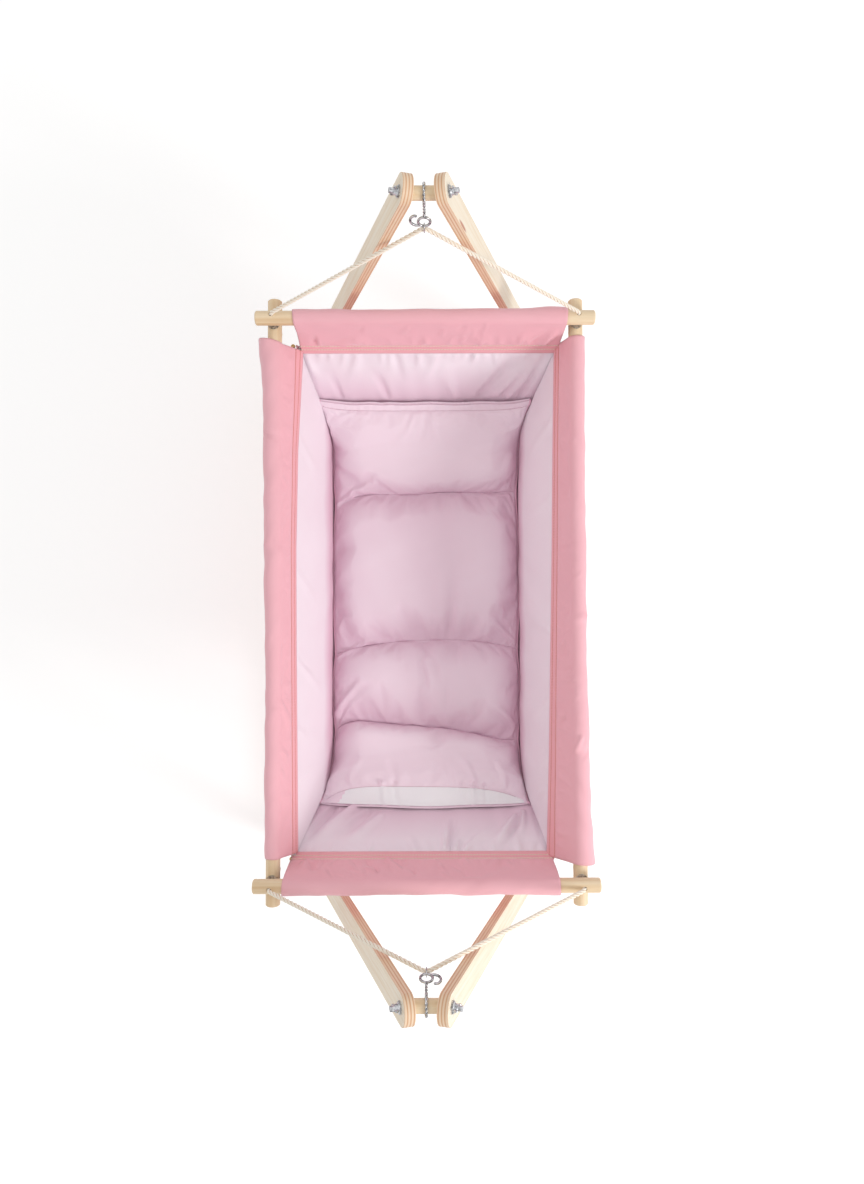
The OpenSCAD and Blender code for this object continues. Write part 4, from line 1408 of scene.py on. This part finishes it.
# Each fold: where it starts and ends, (along the rod, round it), then its width and height, in mm
CASING_FOLDS = {
    "left": [((292, 96), (275, 38), 9, -3.2), ((-150, 98), (-175, 45), 9, -3.0),
             ((-262, 60), (-290, 25), 8, 2.5), ((-445, 6), (-405, 22), 6, -3.5),
             ((-180, 60), (-230, 20), 10, 2.2), ((100, 90), (60, 30), 14, 1.6)],
    "right": [((-262, 96), (-290, 40), 9, -4.0), ((-240, 80), (-285, 60), 8, 3.5),
              ((450, 8), (425, 28), 5, -4.0), ((205, 95), (180, 40), 10, -2.0),
              ((-30, 96), (-50, 30), 12, 1.8), ((-330, 60), (-300, 15), 10, 2.0)],
    "head": [((-175, 20), (-95, 50), 9, 3.0), ((-205, 10), (-190, 70), 9, -2.0),
             ((205, 10), (238, 75), 8, 3.2), ((180, 8), (222, 70), 8, -2.4),
             ((150, 8), (190, 70), 9, 2.4), ((90, 10), (120, 70), 10, 1.8)],
    "foot": [((-205, 10), (-225, 70), 7, 3.2), ((-175, 8), (-195, 70), 7, -2.6),
             ((-150, 10), (-170, 60), 7, 2.4), ((-70, 25), (-40, 75), 9, 3.2),
             ((-35, 12), (-50, 60), 8, -2.0), ((60, 10), (75, 70), 9, 2.2),
             ((130, 12), (110, 65), 9, 2.4)],
}
# How many short creases a casing has, how high they are in mm, and where they crowd, from -1 to 1
CASING_CREASES = {"left": (12, 1.6, -0.4), "right": (20, 2.2, -0.3),
                  "head": (14, 2.0, 0.6), "foot": (30, 2.8, -0.7)}
# Half the length that gathers take and that creases take, then the gathers' spacing and height, all
# in mm, then how much higher the folds are than listed
SIDE_CASING = (SIDE_GATHERED, 430, 22, 3.0, 1.3)
END_CASING = (215, 210, 15, 4.2, 2.0)
SIDE_SECTIONS, END_SECTIONS = 250, 140
STITCH_ROWS = (HEM_BAND + 1.5 * MM, HEM_BAND + 12 * MM)
DOUBLED = HEM_BAND + 13.5 * MM
DROOP = math.radians(40)
print("casings have", sum(len(folds) for folds in CASING_FOLDS.values()), "folds of their own")

# %% Four casings


def casing_relief(name, run, climb):
    """Height of a casing's gathers, folds and creases, flat where the cloth is doubled."""
    around_rod = SIDE_CASING if name in SIDES else END_CASING
    gather_half, crease_half, spacing, gather_height, share = around_rod
    seed = 50 + list(CASING_EDGE).index(name)
    relief = gathers(run, climb, gather_half, spacing, seed, gather_height, length=(24, 70))
    for start, end, width, size in CASING_FOLDS[name]:
        relief = relief + fold(run, climb, start, end, width, size * share)
    relief = relief + creases(run, climb, crease_half, *CASING_CREASES[name], seed + 20)
    relief = relief + 1.1 * MM * ripple(run * 25 + climb * 30, seed + 9)
    below = climb[:, -1:] - climb
    relief = relief * smooth_step(DOUBLED, DOUBLED + EDGE_FADE, climb)
    relief = relief * smooth_step(DOUBLED, 34 * MM, below)
    for row in STITCH_ROWS:
        relief = relief - 0.7 * MM * np.exp(-((np.minimum(climb, below) - row) / (1.1 * MM)) ** 2)
    return relief


def casing_surface(name):
    """Grid of a casing in the frame, its normals, its way round, and whether it runs outside in."""
    side = name in SIDES
    sign = SIDES[name] if side else ENDS[name]
    reach, height = (SIDE_ROD_X, SIDE_ROD_Z) if side else (END_ROD_Y, END_ROD_Z)
    seam = SEAM_HALF_WIDTH if side else SEAM_HALF_LENGTH
    lean = WALL_LEAN if side else 1 / math.tan(END_SLOPE)
    out = (SHELL_OUT + 1.6 * MM) * math.hypot(1, lean)
    edge = np.array(CASING_EDGE[name]) * MM
    stations = np.linspace(0, 1, len(edge))
    flipped = (sign > 0) != side

    def spare(v):
        stand = np.interp(v, stations, edge) - reach - ROD_CLEAR
        return max(0.5 * MM, stand / (1 + math.cos(DROOP)))

    def ends_at(share):
        places = (0, 0.3, 0.55, 1)
        return [np.interp(share, places, np.array(hem) * MM) for hem in CASING_HEMS[name]]

    draw = np.array(SEAM_DRAW[name] if side else (0, 0)) * MM

    def inner_at(v):
        return seam - 2.2 * MM - np.interp(v, np.linspace(0, 1, len(draw)), draw), SEAM_HEIGHT

    grid = casing_points(reach, height, inner_at, (seam + out, SEAM_HEIGHT), lean,
                         lambda v: ROD_CLEAR + spare(v),
                         lambda v: (spare(v) * math.cos(DROOP), -spare(v) * math.sin(DROOP)),
                         ends_at, SIDE_SECTIONS if side else END_SECTIONS)
    out, run, up = grid[:, :, 0], grid[:, :, 1], grid[:, :, 2]
    points = np.stack([sign * out, run, up] if side else [run, sign * out, up], axis=2)
    middle = grid[len(grid) // 2][:, [0, 2]]
    climb = np.concatenate([[0], np.cumsum(np.linalg.norm(np.diff(middle, axis=0), axis=1))])
    relief = casing_relief(name, run, climb[None, :] * np.ones(run.shape))
    if flipped:
        points, relief = points[:, ::-1], relief[:, ::-1]
    normals = grid_normals(points)
    points = clear_of_rod(points + normals * relief[:, :, None], sign, reach, height, side)
    return points, normals, climb[-1], flipped


def make_casing(name):
    """One casing, its doubled hem bands in a darker pink painted as shade, and two rows of stitches
    on each.
    """
    points, normals, around, flipped = casing_surface(name)
    piece = cloth_grid("casing_" + name + "_cloth", points, PINK)
    piece.data.materials.append(SEAM_PINK_SHADE)
    stitches = Tubes()
    per_metre = (SECTION_POINTS - 1) / around
    # The doubled band at each hem gets the darker pink, which is painted shade
    band = int(round(DOUBLED * per_metre))
    columns = np.arange(len(piece.data.polygons)) % (SECTION_POINTS - 1)
    in_shaded_band = np.minimum(columns, SECTION_POINTS - 2 - columns) < band
    piece.data.polygons.foreach_set("material_index", in_shaded_band.astype(int))
    for row in STITCH_ROWS:
        inner_col = SECTION_POINTS - 1 - row * per_metre if flipped else row * per_metre
        for col in (inner_col, SECTION_POINTS - 1 - inner_col):
            line, ups = grid_line(points, col=col), grid_line(normals, col=col)
            stitch_line(stitches, line, ups, BOLD_STITCH)
    seams = stitches.piece("casing_" + name + "_stitches", SIDE_STITCH if name in SIDES else STITCH)
    for part in (piece, seams):
        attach(part, "cradle")
    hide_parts("casing_" + name)
    return around


for name in CASING_EDGE:
    print("casing", name, "cloth is", round(make_casing(name), 3), "m round")

# %% [markdown]
# ## The mattress
# The mattress is one cover sewn across into four pillows. Three channels are stitched right through
# it, so each pillow is crowned between two creases and its sides pull in at them. At the head the
# cover ends in a flat stitched edge, and at the foot a strip of white cloth closes it. It is built
# as a closed grid whose rows follow the seams, and then a short cloth simulation lets the cover
# puff up and pucker between the rows that are sewn down.

# %% Mattress seams
PAD_GAP = 1.0 * MM
PAD_SIDE_GAP = 0.2 * MM
CORNER_ROUND = 5 * MM
CORNER_FLARE = {-1: 6 * MM, 1: 3 * MM}
SEAM_LINES = ("foot_bottom", "foot_top", "channel_foot", "channel_middle", "channel_head",
              "head_stitch", "head_edge")
# Rows of points from each seam line to the next, and columns across
SEAM_ROWS = (9, 40, 36, 56, 46, 6)
PAD_COLUMNS = 92
# Height of each pillow's crown, how much lower its middle is, and where across that middle lies
CROWNS = {1: 56 * MM, 2: 45 * MM, 3: 44 * MM, 4: 52 * MM}
HOLLOWS = {1: 0.16, 2: 0.30, 3: 0.30, 4: 0.16}
HOLLOW_MIDDLE = 0.14
EDGE_BODY = 4.5 * MM
# How far the sides pull in at a channel, and at the flat edges of head and foot
CHANNEL_PULL = 4 * MM
EDGE_PULL = 3 * MM
CORNER_EDGE = 6 * MM
SEAM_THICKNESS = (9 * MM, 34 * MM, 22 * MM, 22 * MM, 22 * MM, 17 * MM, 14 * MM)


def seam_place(line, u):
    """Distance of a seam line from the middle of the mattress, at u from -1 on the left to 1."""
    left, right = np.clip(-u, 0, 1), np.clip(u, 0, 1)
    places = {
        "foot_bottom": -441 - 1.5 * u + 15 * np.abs(u) ** 3 - 1.5 * np.cos(7 * u),
        "foot_top": -416 - 4 * u - 6 * u ** 6,
        "channel_foot": (-251 - 24 * u - 8 * u ** 2 - 26 * left ** 8 + 10 * right ** 8
                         + 2 * np.sin(5 * u)),
        "channel_middle": -77 + 5 * u - 23 * np.abs(u) ** 2.5,
        "channel_head": 219 + 4 * u - 16 * left ** 5 + 1.5 * np.sin(7 * u),
        "head_stitch": 419 + 7 * u ** 6,
        "head_edge": (432 + 4 * u ** 4 + 1.2 * np.sin(13 * u + 1)
                      - 2.4 * np.exp(-((u + 0.42) / 0.05) ** 2)),
    }
    return places[line] * MM


def seam_thickness(index, u):
    """Thickness of the mattress at a seam line. The foot's top edge thins towards its corners."""
    if index == 1:
        falling = np.where(u < 0, (np.abs(u) / 0.94) ** 6, (np.abs(u) / 0.99) ** 3)
        return CORNER_EDGE + (SEAM_THICKNESS[1] - CORNER_EDGE) * np.maximum(0, 1 - falling) ** 0.8
    return SEAM_THICKNESS[index] * np.ones_like(u)


# Each fold: where it starts and ends, (across, along), then its width and height, in mm
PAD_FOLDS = [
    ((0, 416), (-18, 325), 9, -4.5), ((14, 416), (22, 320), 8, 4.0),
    ((-24, 414), (-62, 330), 10, 3.0),
    ((-186, 290), (-128, 228), 10, -4.5), ((-184, 214), (-95, 240), 9, 5.5),
    ((172, 300), (150, 232), 14, 3.5), ((45, -66), (62, 95), 17, -4.0),
    ((-188, -92), (-105, -66), 9, 4.5), ((178, -70), (120, -20), 12, 3.0),
    ((-186, -226), (-108, -130), 13, 5.0), ((-182, -246), (-140, -188), 8, -3.5),
    ((176, -222), (108, -170), 12, 4.0), ((0, -115), (30, -205), 20, 3.0),
    ((-60, -416), (-78, -300), 12, -3.5), ((92, -418), (62, -308), 10, 4.0),
    ((50, -418), (40, -345), 9, -3.0), ((-150, -402), (-118, -300), 14, 3.0),
    ((150, -405), (135, -310), 12, 3.0), ((-86, -410), (-78, -450), 6, 14),
    ((-64, -410), (-54, -450), 5, -12), ((68, -410), (76, -450), 5, -12),
    ((88, -410), (92, -450), 5, 13), ((110, -410), (118, -450), 5, -11),
]

print("mattress has", len(SEAM_LINES), "seam lines across it")

# %% Mattress grid
# How many points from a seam the cover is held, and how firmly the strip at the foot is
HELD_POINTS = 3
STRIP_HELD = 0.7


def pad_half_width(side, along, level_off):
    """Where the lining leaves room for the mattress, on one side."""
    y, z = profile(along, level_off)
    bulge = np.where(side < 0, side_bulge("left", y, z), side_bulge("right", y, z))
    return wall_x_both(side, y, z) - PAD_SIDE_GAP - bulge


def eased(step, count):
    """Share of the way from one seam line to the next, closer together near both."""
    return (1 - math.cos(math.pi * step / count)) / 2


def mattress_grid():
    """Top and bottom grids, with the rows that are sewn down."""
    u = -np.cos(np.linspace(0, math.pi, PAD_COLUMNS))
    u = 0.5 * u + 0.5 * np.linspace(-1, 1, PAD_COLUMNS)
    across = np.maximum(0, 1 - np.abs(u) ** 5.5) ** 0.6
    tops, bottoms, sewn = [], [], []
    for k, count in enumerate(SEAM_ROWS):
        first, last = seam_place(SEAM_LINES[k], u), seam_place(SEAM_LINES[k + 1], u)
        thick_first, thick_last = seam_thickness(k, u), seam_thickness(k + 1, u)
        final = k == len(SEAM_ROWS) - 1
        for i in range(count + (1 if final else 0)):
            t = eased(i, count)
            along = first + (last - first) * t
            base = thick_first + (thick_last - thick_first) * t
            thick = base * (0.45 + 0.55 * across)
            if k in CROWNS:
                swell = max(0.0, 1 - abs(2 * t - 1) ** 2.4) ** 0.55
                hollow = 1 - HOLLOWS[k] * np.exp(-((u - HOLLOW_MIDDLE) / 0.5) ** 2)
                thick = thick + (CROWNS[k] - base) * swell * across * hollow
                pull = CHANNEL_PULL * math.cos(math.pi * t) ** 8
            else:
                pull = EDGE_PULL
            if k == 0:
                along = along - 3 * MM * math.sin(math.pi * t) * across
            # The pillow on the foot side of the first channel leans over it
            near = np.exp(-((along - seam_place("channel_foot", u)) / (34 * MM)) ** 2)
            along_top = along + np.maximum(0.5 * (thick - SEAM_THICKNESS[2]) * near, 0)
            half = pad_half_width(np.sign(u), along, thick * 0.5)
            flare = np.where(u < 0, CORNER_FLARE[-1], CORNER_FLARE[1])
            half = half + flare * smooth_step(300 * MM, 425 * MM, np.abs(along))
            half = half - CORNER_ROUND * smooth_step(428 * MM, 443 * MM, np.abs(along)) ** 2
            x = u * (half - pull)
            # Towards head and foot the underside lifts off the floor
            curl = smooth_step(378 * MM, 428 * MM, np.abs(along))
            curl = curl * 0.65 * np.maximum(thick - EDGE_BODY, 0)
            under = np.maximum(thick * 0.3 * np.abs(u) ** 5, curl)
            for height, rows, place in ((thick, tops, along_top), (under, bottoms, along)):
                y, z = profile(place, PAD_GAP + height)
                rows.append(np.stack([x, y, z], axis=1))
            sewn.append(i == 0 or (final and i == count))
    return np.array(tops), np.array(bottoms), np.array(sewn)


def pad_relief(top):
    """Folds of the cover, by the place on the grid."""
    x = top[:, :, 0]
    middles = [seam_place(line, x[0] * 0) for line in SEAM_LINES]
    rows = [first + (last - first) * eased(i, count)
            for first, last, count in zip(middles, middles[1:], SEAM_ROWS) for i in range(count)]
    along = np.array(rows + [middles[-1]])
    relief = 0.9 * MM * ripple(x * 24 + along * 11, 61) + 0.8 * MM * ripple(along * 26 - x * 9, 62)
    for one in PAD_FOLDS:
        relief = relief + fold(x, along, *one)
    return relief


def sewn_down(sewn):
    """Share of each grid point that is held: 1 on a seam, falling to 0 within a few points."""
    rows = np.flatnonzero(sewn)
    near_row = np.min(np.abs(np.arange(len(sewn))[:, None] - rows[None, :]), axis=1)
    near_col = np.minimum(np.arange(PAD_COLUMNS), np.arange(PAD_COLUMNS)[::-1])
    by_row, by_col = [np.clip(1 - near / HELD_POINTS, 0, 1) for near in (near_row, near_col)]
    held = np.maximum(by_row[:, None], by_col[None, :])
    held[: SEAM_ROWS[0] + 1] = np.maximum(held[: SEAM_ROWS[0] + 1], STRIP_HELD)
    return held


pad_top, pad_bottom, pad_sewn = mattress_grid()
pad_held = sewn_down(pad_sewn)
pad_top = pad_top + grid_normals(pad_top) * (pad_relief(pad_top) * (1 - pad_held))[:, :, None]
mattress = padded_grid("mattress_cover", pad_top, pad_bottom, PAD_LOW_SHADE)
print("mattress grid", pad_top.shape[0], "by", pad_top.shape[1])

# %% [markdown]
# The white strip at the foot is a second material on the faces between the first two seam lines.
# It stops short of both corners, where the lilac cloth is folded round it.

# %% White strip
GUSSET_COLUMNS = (16, PAD_COLUMNS - 5)
mattress.data.materials.append(GUSSET)
top_faces = np.arange((len(pad_sewn) - 1) * (PAD_COLUMNS - 1))
face_row, face_column = top_faces // (PAD_COLUMNS - 1), top_faces % (PAD_COLUMNS - 1)
below_top = (SEAM_ROWS[0] - face_row) // 2
on_gusset = (face_row < SEAM_ROWS[0]) & (face_column >= GUSSET_COLUMNS[0] - below_top)
on_gusset = on_gusset & (face_column < GUSSET_COLUMNS[1])
slots = np.zeros(len(mattress.data.polygons), int)
slots[top_faces[on_gusset]] = 1
mattress.data.polygons.foreach_set("material_index", slots)
print("white strip has", int(on_gusset.sum()), "faces")

# %% [markdown]
# The simulation holds the sewn rows, the side seams and the whole underside still. Air pressure
# lifts the rest, and a little spare cloth makes it buckle where it meets the seams. How far a point
# may move is capped, so the mattress keeps the size the frame gives it.

# %% Let the cover puff up
PUFF_PRESSURE = 3.0
SPARE_CLOTH = 0.025
FURTHEST = 7 * MM
FRAMES = 16


def puff_up(piece, held):
    """Runs a short cloth simulation and keeps the shape it comes to."""
    count = len(piece.data.vertices)
    before = np.zeros(count * 3)
    piece.data.vertices.foreach_get("co", before)
    group = piece.vertex_groups.new(name="sewn")
    for level in np.unique(np.round(held, 2)):
        if level > 0:
            members = np.flatnonzero(np.abs(held - level) < 0.01).tolist()
            group.add(members, float(level), "REPLACE")
    cloth = piece.modifiers.new("puff", "CLOTH")
    settings = cloth.settings
    settings.quality = 4
    settings.mass = 0.2
    settings.air_damping = 2
    settings.tension_stiffness = settings.compression_stiffness = 25
    settings.shear_stiffness = 12
    settings.bending_stiffness = 0.4
    settings.vertex_group_mass = "sewn"
    settings.use_pressure = True
    settings.uniform_pressure_force = PUFF_PRESSURE
    settings.shrink_min = -SPARE_CLOTH
    settings.effector_weights.gravity = 0
    cloth.collision_settings.use_collision = False
    cloth.point_cache.frame_start = 1
    cloth.point_cache.frame_end = FRAMES
    scene = bpy.context.scene
    for frame_number in range(1, FRAMES + 1):
        scene.frame_set(frame_number)
    puffed = piece.evaluated_get(bpy.context.evaluated_depsgraph_get())
    after = np.zeros(count * 3)
    puffed.to_mesh().vertices.foreach_get("co", after)
    puffed.to_mesh_clear()
    move = (after - before).reshape(-1, 3)
    far = np.linalg.norm(move, axis=1)
    move *= np.minimum(1, FURTHEST / np.maximum(far, 1e-9))[:, None]
    piece.modifiers.remove(cloth)
    piece.data.vertices.foreach_set("co", (before.reshape(-1, 3) + move).ravel())
    piece.data.update()
    piece.vertex_groups.clear()
    scene.frame_set(1)
    return far


held = np.concatenate([pad_held.ravel(), np.ones(pad_bottom.shape[0] * PAD_COLUMNS)])
moved = np.minimum(puff_up(mattress, held), FURTHEST)
print("cover moved", round(float(moved.mean()) / MM, 1), "mm on average,",
      round(float(moved.max()) / MM, 1), "mm at most")

# %% [markdown]
# Piping closes the two long sides of the cover, and a row of stitches runs along every seam line.
# Both follow the cover as it is after puffing up, so they are made from its finished points. The
# piping's darker pink is partly its own colour and partly painted shade for the crevice beside the
# lining.

# %% Mattress piping and stitches
PAD_PIPING_RADIUS = 2.2 * MM


def cover_line(row=None, col=None):
    """Points and normals of the finished cover along a row or column of its grid."""
    rows = len(pad_sewn)
    points = np.zeros(len(mattress.data.vertices) * 3)
    mattress.data.vertices.foreach_get("co", points)
    top = points.reshape(-1, 3)[: rows * PAD_COLUMNS].reshape(rows, PAD_COLUMNS, 3)
    return grid_line(top, row=row, col=col), grid_line(grid_normals(top), row=row, col=col)


piping, stitches = Tubes(), Tubes()
for col in (0, PAD_COLUMNS - 1):
    line, _ = cover_line(col=col)
    piping.add(resample(line, 220), PAD_PIPING_RADIUS, sides=8, round_ends=True)
row = 0
for k, count in enumerate(SEAM_ROWS[:-1]):
    row += count
    line, normals = cover_line(row=row)
    # The stitches along the foot's top edge stop further from its corners
    span = slice(8, -9) if k == 0 else slice(2, -2)
    stitch_line(stitches, line[span], normals[span], FINE_STITCH)
piping = piping.piece("mattress_piping_shade", PAD_PIPING_SHADE)
stitches = stitches.piece("mattress_stitches", PALE_STITCH)
smoother = mattress.modifiers.new("smoother", "SUBSURF")
smoother.levels = smoother.render_levels = 1
for part in (mattress, piping, stitches):
    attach(part, "cradle")
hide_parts("mattress")
print("mattress done")
